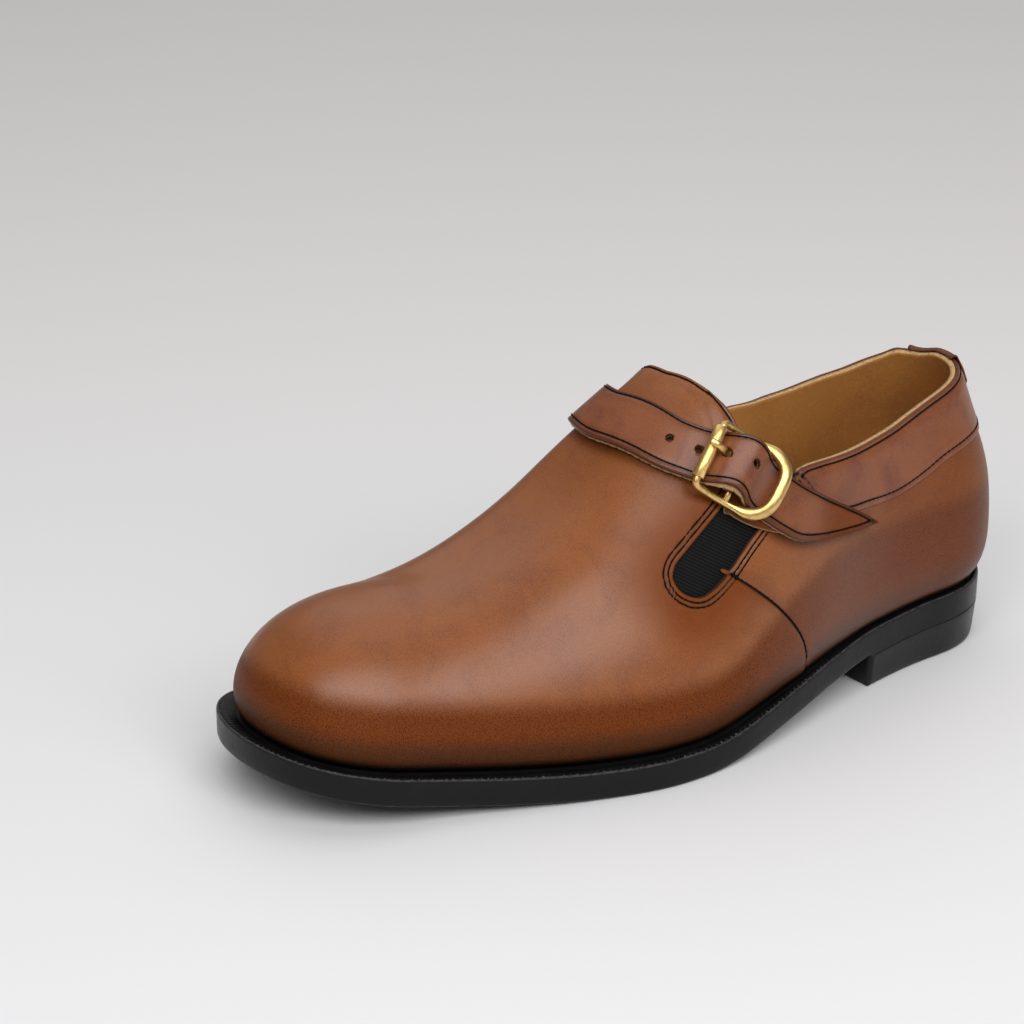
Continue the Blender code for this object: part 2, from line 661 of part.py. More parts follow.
def build_chape(mat, frame):
    """Leather loop round the centre bar with a slot for the prong."""
    path = along(CHAPE_PATH, 34)
    tangent = np.gradient(path, axis=0)
    tangent /= np.linalg.norm(tangent, axis=1)[:, None]
    normal = np.stack([-tangent[:, 1], tangent[:, 0]], -1) * CHAPE_T / 2
    rings = []
    turn = int(np.argmin(path[:, 0]))
    for k, (p, n) in enumerate(zip(path, normal)):
        a, b = p + n, p - n
        w = CHAPE_W / 2
        low = w + 0.4
        if k < turn:
            low = curve(p[:1], CHAPE_LOW[:, 0], CHAPE_LOW[:, 1])[0] + side_way(p[0])
        drop = np.interp(p[0], [0, 5, 12], [-0.010, -0.008, 0.001]) * (low - w) ** 2
        rings.append([(a[0], -low, a[1] - drop), (a[0], -w, a[1]), (a[0], w, a[1]),
                      (b[0], w, b[1]), (b[0], -w, b[1]), (b[0], -low, b[1] - drop)])
    rings = list(place_along(np.concatenate(rings), frame).reshape(len(path), 6, 3))
    verts, faces = sweep(rings)
    chape = solid("chape", verts, faces, mat)
    cut(chape, block("slot", -8.0, 3.4, CHAPE_SLOT / 2, -1.0, 12.0, mat, frame))
    return chape


def bow(d):
    """Height of the frame wire over the upper."""
    rise = np.where(d < CENTRE_BAR, FRAME_BOW, CRESCENT_BOW)
    return CENTRE_H + rise * ((d - CENTRE_BAR) / FRAME_BACK) ** 2


def circle_rings(path, radii, frame, sides=10, closed=False, flat=1.0):
    """Round sections along a path given in buckle coordinates."""
    path = np.asarray(path, float)
    if closed:
        tangent = np.roll(path, -1, 0) - np.roll(path, 1, 0)
    else:
        tangent = np.gradient(path, axis=0)
    tangent /= np.linalg.norm(tangent, axis=1)[:, None]
    up = np.zeros_like(tangent)
    up[:, 2] = 1.0
    steep = np.abs(tangent[:, 2]) > 0.9
    up[steep] = (0.0, 1.0, 0.0)
    side = np.cross(tangent, up)
    side /= np.linalg.norm(side, axis=1)[:, None]
    up = np.cross(side, tangent)
    w = np.arange(sides) * 2 * np.pi / sides
    rings = []
    for p, a, b, r in zip(path, side, up, radii):
        rings.append(place(p + r * np.cos(w)[:, None] * a + min(r, ROD_R * 1.25) * flat * np.sin(w)[:, None] * b, frame))
    return rings


def build_frame(mat, frame):
    """Wire frame, square at the roller and a broad crescent at the back, with its centre bar."""
    c = 1.6
    w = FRAME_HALF_W
    a = np.linspace(0, np.pi / 2, 4)
    pts = [(FRAME_FRONT + c - c * np.sin(q), -w + c - c * np.cos(q)) for q in a]
    pts += [(FRAME_FRONT, x) for x in (-4.0, 4.0)]
    pts += [(FRAME_FRONT + c - c * np.cos(q), w - c + c * np.sin(q)) for q in a]
    pts += [(x, w) for x in (-7.5, -3.5, -0.5, 2.5)]
    b = np.linspace(0, np.pi, 17)
    start = 5.0
    pts += [(start + (FRAME_BACK - start) * np.sin(q), w * np.sign(np.cos(q)) * abs(np.cos(q)) ** 0.6) for q in b]
    pts += [(x, -w) for x in (2.5, -0.5, -3.5, -7.5)]
    pts = np.array(pts)
    path = np.column_stack([pts, bow(pts[:, 0])])
    fat = np.clip((pts[:, 0] - 3) / 7.5, 0, 1)
    radii = ROD_R + (CRESCENT_R - ROD_R) * fat
    verts, faces = sweep(circle_rings(path, radii, frame, closed=True), closed=True)
    ob = solid("buckle_frame", verts, faces, mat)
    bar = [(CENTRE_BAR, x, CENTRE_H) for x in (-w, -3, 3, w)]
    verts, faces = sweep(circle_rings(bar, [ROD_R * 0.95] * 4, frame, sides=12))
    other = solid("bar", verts, faces, mat)
    cut(ob, other, "UNION")
    return ob


def build_roller(mat, frame):
    """Loose tube on the front bar."""
    n = 20
    w = np.arange(n) * 2 * np.pi / n
    h = bow(FRAME_FRONT)
    rings = []
    for r, x in ((ROLLER_R, -0.5), (ROLLER_R, 0.5), (ROLLER_BORE, 0.5), (ROLLER_BORE, -0.5)):
        p = np.column_stack([FRAME_FRONT + r * np.cos(w), np.full(n, x * ROLLER_L), h + r * np.sin(w)])
        rings.append(place(p, frame))
    verts, faces = sweep(rings, closed=True)
    return solid("buckle_roller", verts, faces, mat)


def build_prong(mat, frame):
    """Eye round the centre bar and a pin bent over the roller."""
    w = np.linspace(0.0, 2 * np.pi, 17)[:-1]
    eye = np.column_stack([CENTRE_BAR - 2.3 * np.cos(w), 0 * w + STRAP_SIDE, CENTRE_H + 2.3 * np.sin(w)])
    verts, faces = sweep(circle_rings(eye, [PRONG_R * 0.8] * 16, frame, sides=8, closed=True), closed=True)
    ob = solid("buckle_prong", verts, faces, mat)
    path = along(PRONG_PATH, 14)
    pin = np.column_stack([path[:, 0], np.full(14, STRAP_SIDE), path[:, 1]])
    radii = np.full(14, PRONG_R)
    radii[-1] = PRONG_R * 0.6
    verts, faces = sweep(circle_rings(pin, radii, frame, sides=8))
    other = solid("pin", verts, faces, mat)
    cut(ob, other, "UNION")
    return ob


def centre_all():
    """Move every piece so that the origin is on the ground at the middle of the shoe."""
    points = np.concatenate([np.array([v.co for v in ob.data.vertices]) for ob in bpy.data.objects])
    low, high = points.min(0), points.max(0)
    shift = Matrix.Translation((-(low[0] + high[0]) / 2, -(low[1] + high[1]) / 2, -low[2]))
    for ob in bpy.data.objects:
        ob.data.transform(shift)


def main():
    for ob in list(bpy.data.objects):
        bpy.data.objects.remove(ob)
    tan = material("tan calf", (0.30, 0.11, 0.035), 0.4)
    black = material("black edge", (0.01, 0.01, 0.011), 0.45)
    brass = material("aged brass", (0.55, 0.40, 0.16), 0.3, 1.0)
    elastic = material("black elastic", (0.012, 0.012, 0.013), 0.85)
    build_outsole(black)
    build_welt(black)
    build_heel(black)
    build_insole(material("insole tan", (0.5, 0.33, 0.15), 0.7))
    trim_upper(build_upper(tan))
    build_gore("gore_lateral", 1, elastic)
    build_gore("gore_medial", -1, elastic)
    frame = buckle_place()
    build_strap(material("strap calf", (0.27, 0.095, 0.035), 0.4), frame)
    build_chape(material("chape calf", (0.26, 0.10, 0.04), 0.6), frame)
    build_frame(brass, frame)
    build_roller(brass, frame)
    build_prong(brass, frame)
    centre_all()


main()
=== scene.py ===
"""Left monk strap shoe: burnished calf, elastic panels, buckled strap, stitched sole."""
import bmesh
import bpy
import numpy as np
from mathutils import Matrix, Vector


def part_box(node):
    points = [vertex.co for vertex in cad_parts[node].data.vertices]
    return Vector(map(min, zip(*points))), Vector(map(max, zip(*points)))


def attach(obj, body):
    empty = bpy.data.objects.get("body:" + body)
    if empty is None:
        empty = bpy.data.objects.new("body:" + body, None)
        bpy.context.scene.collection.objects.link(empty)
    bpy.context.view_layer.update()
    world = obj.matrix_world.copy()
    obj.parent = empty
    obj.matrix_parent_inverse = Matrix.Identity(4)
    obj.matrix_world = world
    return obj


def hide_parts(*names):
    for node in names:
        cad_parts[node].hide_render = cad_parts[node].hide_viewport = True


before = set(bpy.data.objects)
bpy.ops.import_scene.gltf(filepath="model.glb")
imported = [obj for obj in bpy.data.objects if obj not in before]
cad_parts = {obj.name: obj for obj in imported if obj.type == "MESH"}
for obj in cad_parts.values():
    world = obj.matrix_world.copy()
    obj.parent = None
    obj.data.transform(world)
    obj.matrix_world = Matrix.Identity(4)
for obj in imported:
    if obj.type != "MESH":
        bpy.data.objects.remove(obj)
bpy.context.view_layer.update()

bl_info = {
    "name": "Monk Strap Shoe",
    "version": (1, 0, 0),
    "blender": (4, 5, 0),
    "location": "View3D > Sidebar > Shoe",
    "description": "Builds a buckled leather shoe piece by piece on its solid frame",
    "category": "Add Mesh",
}

MM = 0.001
OUTSOLE_MIDDLE = (3.0575, 0.0)
SOLE_LOW, SOLE_HIGH = (np.array(c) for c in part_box("outsole"))
SHIFT = np.append((SOLE_LOW + SOLE_HIGH)[:2] / 2 / MM - OUTSOLE_MIDDLE, 0.0)

# ---------------------------------------------------------------- the last and the sole, in mm

LENGTH = 290.0
SOLE_T = 9.4
TOE_RUN = 37.3
TOE_POWER = 2.35
SEAT_RUN = 37.0
SEAT_POWER = 2.3
TOE_SPRING = 15.2
SPRING_RUN = 110.0
FLAT_END = 128.0
HEEL_BREAST = 217.5
BREAST_Z = 12.2
SEAT_Z = 14.4
PIECE_GAP = 0.4
SPLIT = 150.0
BELLY_HEIGHT = 16.0
HEEL_BULGE = 2.7
BULGE_FROM = 225.0
BULGE_HEIGHT = 40.4
BULGE_SPAN = 18.6
BLEND_MID = 160.0
BLEND_SPAN = 50.0
BLEND_REACH = 14.0

OUTLINE = np.array([
    # t, lateral, medial
    [0, 30.7, 51.0], [20, 30.9, 51.8], [44, 35.6, 51.4], [68, 43.3, 50.1],
    [92, 51.3, 48.7], [118, 57.4, 47.0], [145, 56.3, 39.0], [172, 50.3, 29.5],
    [198, 43.0, 26.3], [222, 36.9, 28.0], [247, 33.0, 31.0], [270, 32.4, 32.4],
    [290, 33.0, 32.8]], float)
LEDGE = np.array([
    # t, width
    [0, 6.6], [30, 6.6], [110, 6.6], [165, 4.6], [210, 2.6], [290, 2.2]], float)
RIBS = np.array([
    # t, top_t, top_z, ridge_x, spread_lat, spread_med, lean, power_lat, power_med, belly
    [0, 56, 60.9, -9.5, 0, 0, 90, 2.25, 2.25, 2.0],
    [20, 60, 60.5, -9.2, 0, 0, 90, 2.20, 2.20, 2.0],
    [45, 72, 61.0, -8.3, 0, 0, 90, 2.10, 2.20, 2.0],
    [75, 93, 68.3, -6.5, 0, 0, 90, 2.00, 2.20, 2.2],
    [105, 118, 83.8, -5.0, 0, 0, 90, 1.90, 2.20, 2.5],
    [130, 141, 104.2, -4.0, 0, 0, 90, 1.85, 2.00, 2.5],
    [150, 158, 117.5, -2.0, 0, 0, 86, 1.85, 1.90, 2.5],
    [160, 163.5, 118.6, -1.5, 15, 13, 68, 1.90, 1.90, 2.5],
    [172, 174, 119.2, -1.0, 23, 21, 58, 1.95, 1.95, 2.5],
    [190, 192, 118.0, -0.5, 28, 25, 45, 2.00, 2.00, 2.5],
    [215, 216, 114.0, 0, 27, 25, 42, 2.00, 2.00, 3.0],
    [245, 243, 110.0, 0, 23, 23, 45, 2.00, 2.00, 3.5],
    [270, 263, 109.0, 0, 20, 20, 45, 2.00, 2.00, 4.3],
    [290, 274, 109.0, 0, 17, 17, 45, 2.00, 2.00, 4.9]], float)

# edge of the leather seen from the side: tongue, slot, topline, back
TRIM = np.array([
    # y, z
    [10.4, 116.0], [12.4, 115.7], [14.1, 113.9], [16.3, 111.0], [17.8, 107.4],
    [18.9, 102.5], [19.6, 97.0], [17.7, 90.8], [11.2, 84.3], [5.5, 79.9], [-10.3, 69.2],
    [-14.6, 66.0], [-16.3, 62.9], [-15.4, 59.5], [-12.4, 57.0], [-7.9, 55.9],
    [-3.9, 57.0], [2, 60.3], [12, 67.5], [18, 71.7], [30, 79.3], [35, 83.4],
    [38.5, 86.2], [45, 86.8], [54, 86.6], [66, 86.7], [75, 87.6], [84, 88.8],
    [95.7, 91.5], [108, 94.6], [120, 97.2], [128, 98.8]], float)
MEDIAL_DROP = np.array([
    # y, how much lower the inner topline runs
    [60, 0.0], [85, 1.8], [100, 3.6], [112, 5.1], [118, 4.5], [124, 3.3], [128, 1.7], [131, 1.6]], float)
TONGUE_SKEW = 0.36
TONGUE_TOP = 108.0
TONGUE_BLEND = 14.0
RIDGE_X = -2.0
SLOT_FOOT = (-8.2, 60.7)

# side seam between vamp and quarter, seen from the side, from the slot to the welt
SEAM = np.array([
    # y, z
    [1.5, 62.0], [4.2, 60.3], [6.9, 58.1], [15.3, 51.5], [23.6, 44.0], [29.7, 37.1],
    [34.8, 28.6], [36.6, 22.4], [36.9, 19.0]], float)


def curve(x, xs, ys):
    """Smooth line through the rows: cubic between them with averaged slopes, flat outside."""
    x = np.clip(x, xs[0], xs[-1])
    h = np.diff(xs)
    d = np.diff(ys) / h
    m = np.concatenate([d[:1], (d[:-1] * h[1:] + d[1:] * h[:-1]) / (h[:-1] + h[1:]), d[-1:]])
    i = np.clip(np.searchsorted(xs, x, side="right") - 1, 0, len(h) - 1)
    q = (x - xs[i]) / h[i]
    rise = (3 - 2 * q) * q * q
    bend = h[i] * (m[i] * q * (1 - q) ** 2 - m[i + 1] * q * q * (1 - q))
    return ys[i] * (1 - rise) + ys[i + 1] * rise + bend


def smooth(x):
    """Ramp from 0 to 1 with level ends: 3x^2 - 2x^3 of x held between 0 and 1."""
    x = np.clip(x, 0, 1)
    return x * x * (3 - 2 * x)


def unit(a):
    """Vectors along the last axis scaled to length 1."""
    return a / np.maximum(np.linalg.norm(a, axis=-1, keepdims=True), 1e-12)


def lengths(path):
    """Distance run along a path at each of its points."""
    return np.concatenate([[0], np.cumsum(np.linalg.norm(np.diff(path, axis=0), axis=1))])


def along(rows, count):
    """Evenly spaced points on the smooth line through the rows."""
    d = lengths(rows)
    q = np.linspace(0, d[-1], count)
    return np.stack([curve(q, d, rows[:, k]) for k in range(rows.shape[1])], -1)


def resample(path, step, *more):
    """Path and its companion arrays at even steps of arc length."""
    d = lengths(path)
    q = np.linspace(0, d[-1], max(2, int(round(d[-1] / step)) + 1))
    out = [np.stack([np.interp(q, d, a[:, k]) for k in range(a.shape[1])], -1) for a in (path,) + more]
    return out if more else out[0]


def station(u):
    """Distance from the toe tip for u, 0 at the toe and 1 at the heel back."""
    return LENGTH * (1 - np.cos(np.pi * u)) / 2


def edge(u, side):
    """Sole edge from above: a smooth half width closed at both ends by a superellipse."""
    t = station(u)
    centre = curve(t, OUTLINE[:, 0], (OUTLINE[:, 1] - OUTLINE[:, 2]) / 2)
    half = curve(t, OUTLINE[:, 0], (OUTLINE[:, 1] + OUTLINE[:, 2]) / 2)
    toe = np.sqrt(1 - np.clip(1 - t / TOE_RUN, 0, 1) ** TOE_POWER)
    seat = np.sqrt(1 - np.clip(1 - (LENGTH - t) / SEAT_RUN, 0, 1) ** SEAT_POWER)
    return np.stack([centre + side * half * toe * seat, t - LENGTH / 2], -1)


def inset_edge(u, side, inset):
    """Sole edge moved inward along its own normal."""
    e = 1e-3
    a = np.where((u < e)[:, None], edge(np.abs(u - e), -side), edge(np.maximum(u - e, 0), side))
    b = np.where((u > 1 - e)[:, None], edge(1 - np.abs(1 - u - e), -side), edge(np.minimum(u + e, 1), side))
    d = (b - a) * side
    n = np.stack([d[:, 1], -d[:, 0]], -1) / np.linalg.norm(d, axis=1)[:, None]
    return edge(u, side) - n * (inset * np.ones_like(u))[:, None]


def sole_z(y):
    """Underside of the outsole: toe spring, flat tread, waist rising to the seat."""
    t = y + LENGTH / 2
    toe = TOE_SPRING * np.clip(1 - t / SPRING_RUN, 0, 1) ** 2
    q = np.clip((t - FLAT_END) / (HEEL_BREAST - FLAT_END), 0, 1)
    w = np.clip(q / 0.35, 0, 1)
    waist = BREAST_Z * q * (0.5 * w * w * (3 - 2 * w) + 0.5 * q * (3 - 2 * q))
    seat = (SEAT_Z - BREAST_Z) * np.clip((t - HEEL_BREAST) / (LENGTH - HEEL_BREAST), 0, 1)
    return toe + waist + seat


def feather(u, side, extra=0.0):
    """Line where the upper meets the welt: the sole edge moved in by the ledge."""
    return inset_edge(u, side, curve(station(u), LEDGE[:, 0], LEDGE[:, 1]) + extra)


def rib_value(t, j):
    """Column j of the rib table at station t."""
    return curve(t, RIBS[:, 0], RIBS[:, j])


def spread(t, j):
    """Half width of the leg opening, round at its front and back."""
    k = int(np.searchsorted(RIBS[:, 0], SPLIT))
    wide = curve(np.maximum(t, RIBS[k + 1, 0]), RIBS[k + 1:, 0], RIBS[k + 1:, j])
    q = np.clip((t - SPLIT) / (RIBS[k + 1, 0] - SPLIT), 0, 1)
    back = np.sqrt(1 - np.clip(1 - (LENGTH - t) / SEAT_RUN, 0, 1) ** SEAT_POWER)
    return np.where(q < 1, RIBS[k + 1, j] * np.sqrt(1 - (1 - q) ** 2), wide * back)


def rib_point(u, v, side):
    """Rib of the last: a superellipse arc from the feather line to the ridge or the opening."""
    t = station(u)
    foot = feather(u, side)
    foot_z = sole_z(foot[:, 1]) + SOLE_T + PIECE_GAP
    top_x = rib_value(t, 3) + side * spread(t, 4 if side > 0 else 5)
    top = np.stack([top_x, rib_value(t, 1) - LENGTH / 2], -1)
    lean = np.radians(rib_value(t, 6))
    power = 2 / rib_value(t, 7 if side > 0 else 8)
    c = np.clip(np.cos(v * lean), 0, 1) ** power
    s = np.clip(np.sin(v * lean), 0, 1) ** power
    across = (1 - c) / (1 - np.clip(np.cos(lean), 0, 1) ** power)
    up = s / np.sin(lean) ** power
    height = (rib_value(t, 2) - foot_z) * up
    push = rib_value(t, 9) * (height / BELLY_HEIGHT) * np.exp(1 - height / BELLY_HEIGHT) * (1 - v ** 4)
    heel = smooth((t - BULGE_FROM) / (LENGTH - BULGE_FROM))
    push = push + HEEL_BULGE * heel * np.exp(-((height - BULGE_HEIGHT) / BULGE_SPAN) ** 2) * (1 - v ** 4)
    d = foot - top
    d /= np.linalg.norm(d, axis=1)[:, None]
    xy = foot + (top - foot) * across[:, None] + d * push[:, None]
    return np.concatenate([xy, (foot_z + height)[:, None]], 1)


def last_point(u, v, side):
    """Outer surface of the upper: ribs averaged along the shoe around the throat."""
    t = station(u)
    reach = BLEND_REACH * np.clip(1 - np.abs(t - BLEND_MID) / BLEND_SPAN, 0, 1)
    total = 0
    for k in (-1, -0.66, -0.33, 0, 0.33, 0.66, 1):
        near = np.arccos(np.clip(1 - 2 * (t + k * reach) / LENGTH, -1, 1)) / np.pi
        total = total + (1 - 0.7 * abs(k)) * rib_point(near, v, side)
    return total / (7 - 0.7 * 3.98)


def weigh(rows, sigma, taps=40):
    """Rows averaged with their neighbours along axis 0: Gaussian weights, each row its own width."""
    out, total = 0.0, 0.0
    pad = np.concatenate([rows[taps:0:-1], rows, rows[-2:-taps - 2:-1]])
    for k in range(-taps, taps + 1):
        w = np.exp(-0.5 * (k / np.maximum(sigma, 1e-3)) ** 2)
        out = out + w * pad[taps + k:taps + k + len(rows)]
        total = total + w
    return out / total


def skin_table(nu=361, nv=181):
    """The last surface of both sides on an even grid of (u, v), softened across the ridge and the toe.

    Each row across the shoe runs from the outer foot over the ridge to the inner foot, and is averaged
    with Gaussian weights whose width grows from nothing at v 0.62 to the ridge; the lines across the
    toe, u below 0.1, are averaged the same way from one side to the other.
    """
    u, v = np.meshgrid(np.linspace(0, 1, nu), np.linspace(0, 1, nv), indexing="ij")
    grids = {}
    for side in (1, -1):
        p = last_point(u.ravel(), v.ravel(), side)
        p[:, 2] -= (PIECE_GAP - 0.05) * np.clip(1 - v.ravel() * 30, 0, 1)
        grids[side] = (p + soft_folds(p)).reshape(nu, nv, 3)
    mid = (grids[1][:, -1] + grids[-1][:, -1]) / 2
    closed = station(np.linspace(0, 1, nu)) < SPLIT + 8
    for side in (1, -1):
        pull = smooth((np.linspace(0, 1, nv) - 0.85) / 0.15)[None, :, None] * closed[:, None, None]
        grids[side] = grids[side] + (mid - grids[side][:, -1])[:, None] * pull
    over = np.concatenate([grids[1], grids[-1][:, -2::-1]], 1).transpose(1, 0, 2)
    row = np.arange(2 * nv - 1)
    sigma = RIDGE_SOFT * smooth((np.minimum(row, row[::-1]) / (nv - 1) - 0.6) / 0.4)
    soft = weigh(over, sigma[:, None, None] + 1e-3)
    crest = smooth((np.minimum(np.arange(2 * nv - 1), np.arange(2 * nv - 1)[::-1]) / (nv - 1) - 0.7) / 0.3)
    over = soft + (over[nv - 1] - soft[nv - 1])[None] * crest[:, None, None] * closed[None, :, None]
    grids = {1: over[:nv].transpose(1, 0, 2), -1: over[:nv - 2:-1].transpose(1, 0, 2)}
    round_toe = np.concatenate([grids[1][::-1], grids[-1][1:]])
    from_toe = np.abs(np.arange(2 * nu - 1) - (nu - 1)) / (nu - 1)
    sigma = TOE_SOFT * smooth(1 - from_toe / 0.12)
    round_toe = weigh(round_toe, sigma[:, None, None] + 1e-3)
    return {1: round_toe[nu - 1::-1], -1: round_toe[nu - 1:]}


def cubic(table, u, v):
    """Table read between its rows and columns with the four-point cubic whose slopes are centred."""
    n, m = table.shape[:2]
    x, y = np.clip(u, 0, 1) * (n - 1), np.clip(v, 0, 1) * (m - 1)
    i, j = np.minimum(x.astype(int), n - 2), np.minimum(y.astype(int), m - 2)

    def weights(q):
        return (((2 - q) * q - 1) * q / 2, ((3 * q - 5) * q * q + 2) / 2,
                ((4 - 3 * q) * q + 1) * q / 2, (q - 1) * q * q / 2)

    wx, wy = weights(x - i), weights(y - j)
    out = 0
    for a in range(4):
        ia = i + a - 1
        line = 0
        for b in range(4):
            line = line + wy[b][:, None] * read(table, ia, j + b - 1)
        out = out + wx[a][:, None] * line
    return out


def read(table, i, j):
    """Table entries, carried on in a straight line one step past each border."""
    n, m = table.shape[:2]
    ic, jc = np.clip(i, 0, n - 1), np.clip(j, 0, m - 1)
    p = table[ic, jc]
    for k, c, axis in ((i, ic, 0), (j, jc, 1)):
        out = k != c
        if out.any():
            back = np.clip(2 * c - k, 0, (n, m)[axis] - 1)
            q = table[back, jc] if axis == 0 else table[ic, back]
            p = np.where(out[:, None], 2 * p - q, p)
    return p


def skin_point(u, v, side):
    """Outer surface of the finished upper at (u, v)."""
    return cubic(SKIN[side], np.asarray(u, float), np.asarray(v, float))


def soft_folds(p):
    """Shallow troughs and ridges: height times a bell across and a bell along each line, in mm."""
    out = np.zeros_like(p)
    for x, y, z, dx, dy, dz, half, reach, height in FOLDS:
        c, d = np.array([x, y, z]), unit(np.array([dx, dy, dz]))
        r = p - c
        a = r @ d
        b = np.linalg.norm(r - a[:, None] * d, axis=1)
        bell = height * np.exp(-(b / half) ** 2 - (a / reach) ** 2)
        out += bell[:, None] * unit(p - np.array([-2.0, y, 35.0]))
    return out


# soft folds of the leather
FOLDS = (
    # x, y, z, dx, dy, dz, half, reach, height
    (26.0, -38.0, 62.0, 0.35, 0.75, 0.3, 9.0, 26.0, 0.5),
    (30.0, 8.0, 92.0, -0.4, -0.7, -0.6, 5.0, 18.0, -0.35),
    (44.0, 18.0, 40.0, 0.1, 0.9, -0.4, 9.0, 20.0, -0.5),
    (36.0, 70.0, 45.0, 0.0, 1.0, 0.2, 11.0, 26.0, -0.5),
    (-30.0, 40.0, 40.0, 0.0, 1.0, 0.1, 10.0, 26.0, -0.4),
    (-26.0, -30.0, 50.0, 0.2, 0.9, 0.3, 8.0, 20.0, 0.4),
)


def surface_frame(u, v, side):
    """Point, steps along u and v, and outward unit normal of the skin."""
    e = 3e-3
    ua, ub = np.clip(u - e, 0, 1), np.clip(u + e, 0, 1)
    va, vb = np.clip(v - e, 0, 1), np.clip(v + e, 0, 1)
    pu = (skin_point(ub, v, side) - skin_point(ua, v, side)) / (ub - ua)[:, None]
    pv = (skin_point(u, vb, side) - skin_point(u, va, side)) / (vb - va)[:, None]
    return skin_point(u, v, side), pu, pv, unit(np.cross(pu, pv) * side)


def walk(u, v, side, step):
    """Values (u, v) after a move by the given vector, found by Newton steps on the skin."""
    target = skin_point(u, v, side) + step
    for _ in range(4):
        p, pu, pv, _n = surface_frame(u, v, side)
        r = target - p
        a, b, c = (pu * pu).sum(1), (pu * pv).sum(1), (pv * pv).sum(1)
        ru, rv = (r * pu).sum(1), (r * pv).sum(1)
        det = a * c - b * b
        u = np.clip(u + (c * ru - b * rv) / det, 0, 1)
        v = np.clip(v + (a * rv - b * ru) / det, 0, 1)
    return u, v


def find_uv(y, z, side):
    """Values (u, v) of the last seen from the side at (y, z)."""
    u = np.arccos(np.clip(1 - 2 * (y + LENGTH / 2) / LENGTH, -0.95, 0.95)) / np.pi
    v = np.clip((z - 20) / 100, 0.05, 0.95)
    e = 1e-3
    for _ in range(25):
        p = skin_point(u, v, side)
        pu = (skin_point(u + e, v, side) - p) / e
        pv = (skin_point(u, v + e, side) - p) / e
        ry, rz = y - p[:, 1], z - p[:, 2]
        det = pu[:, 1] * pv[:, 2] - pu[:, 2] * pv[:, 1]
        du = (ry * pv[:, 2] - rz * pv[:, 1]) / det
        dv = (rz * pu[:, 1] - ry * pu[:, 2]) / det
        u = np.clip(u + np.clip(du, -0.05, 0.05), 0.02, 0.98)
        v = np.clip(v + np.clip(dv, -0.1, 0.1), 0.01, 0.985)
    return u, v


def opening(side):
    """Outline of the leg opening in the (y, z) plane, and its lean along x."""
    line = along(TRIM, 240)
    if side < 0:
        line[:, 1] -= curve(line[:, 0], MEDIAL_DROP[:, 0], MEDIAL_DROP[:, 1])
        x = skin_point(*find_uv(line[:, 0], line[:, 1], -1), -1)[:, 0]
        below = smooth((TONGUE_TOP - line[:, 1]) / TONGUE_BLEND)
        line[:, 0] -= TONGUE_SKEW * (x - RIDGE_X) * below
    start, end = line[0], line[-1]
    box = [(180.0, end[1] + 0.5), (180.0, 140.0), (start[0] - 2.0, 140.0), (start[0] - 2.0, start[1] + 4.0)]
    return np.concatenate([line, box]), TONGUE_SKEW if side < 0 else 0.0


def in_opening(p, side):
    """True where a point lies inside the opening's outline, by counting crossings."""
    outline, skew = OPENING[side]
    y, z = (p[:, 1] - skew * (p[:, 0] - RIDGE_X))[:, None], p[:, 2][:, None]
    a, b = outline, np.roll(outline, -1, 0)
    hit = (a[:, 1] > z) != (b[:, 1] > z)
    rise = np.where(b[:, 1] == a[:, 1], 1.0, b[:, 1] - a[:, 1])
    cross = y < a[:, 0] + (z - a[:, 1]) * (b[:, 0] - a[:, 0]) / rise
    return (hit & cross).sum(1) % 2 == 1


def first_entry(start, stop, make, side, steps=140):
    """Value from start to stop where make(value) first enters the opening: a scan, then halving."""
    count = len(start)
    grid = start + (stop - start) * np.linspace(0, 1, steps)[:, None]
    flag = in_opening(make(grid.ravel(), np.tile(np.arange(count), steps)), side).reshape(steps, count)
    k = np.where(flag.any(0), flag.argmax(0), steps - 1)
    cols = np.arange(count)
    lo, hi = grid[np.maximum(k - 1, 0), cols], grid[k, cols]
    for _ in range(14):
        mid = (lo + hi) / 2
        inside = in_opening(make(mid, cols), side)
        hi = np.where(inside, mid, hi)
        lo = np.where(inside, lo, mid)
    return (lo + hi) / 2


def slot_tip(side):
    """Values (u, v) of the front end of the slot: the lowest u inside the opening."""
    u0, u1 = 0.44, 0.49
    for _ in range(3):
        us, vs = np.linspace(u0, u1, 60), np.linspace(0.3, 0.5, 120)
        u, v = np.meshgrid(us, vs, indexing="ij")
        inside = in_opening(skin_point(u.ravel(), v.ravel(), side), side).reshape(u.shape)
        k = int(np.argmax(inside.any(1)))
        tip = (us[k], float(vs[inside[k]].mean()))
        u0, u1 = us[max(k - 1, 0)], us[k]
    return tip


def circle(count):
    """Even angles once round."""
    return np.arange(count) * 2 * np.pi / count


def ease(count, lean):
    """Samples 0 to 1 that crowd towards 1 for a positive lean and towards 0 for a negative one."""
    q = np.linspace(0, 1, count)
    return q + lean * q * (1 - q)


def both_ends(count, lean):
    """Samples 0 to 1 that crowd towards both ends: q less a sine of one turn."""
    q = np.linspace(0, 1, count)
    return q - lean * np.sin(2 * np.pi * q) / (2 * np.pi)


RIDGE_SOFT = 17.0
TOE_SOFT = 7.0
SKIN = skin_table()
RIDGE_END = float(np.interp(TRIM[0, 0], skin_point(np.linspace(0.4, 0.53, 80), np.ones(80), 1)[:, 1],
                            np.linspace(0.4, 0.53, 80)))
OPENING = {side: opening(side) for side in (1, -1)}
TIP = {side: slot_tip(side) for side in (1, -1)}
TIP_MID = [(TIP[1][k] + TIP[-1][k]) / 2 for k in (0, 1)]


# heights v where both sides meet at the heel back: first found on the outer side, then used on the inner one
HEEL_TOP = {}


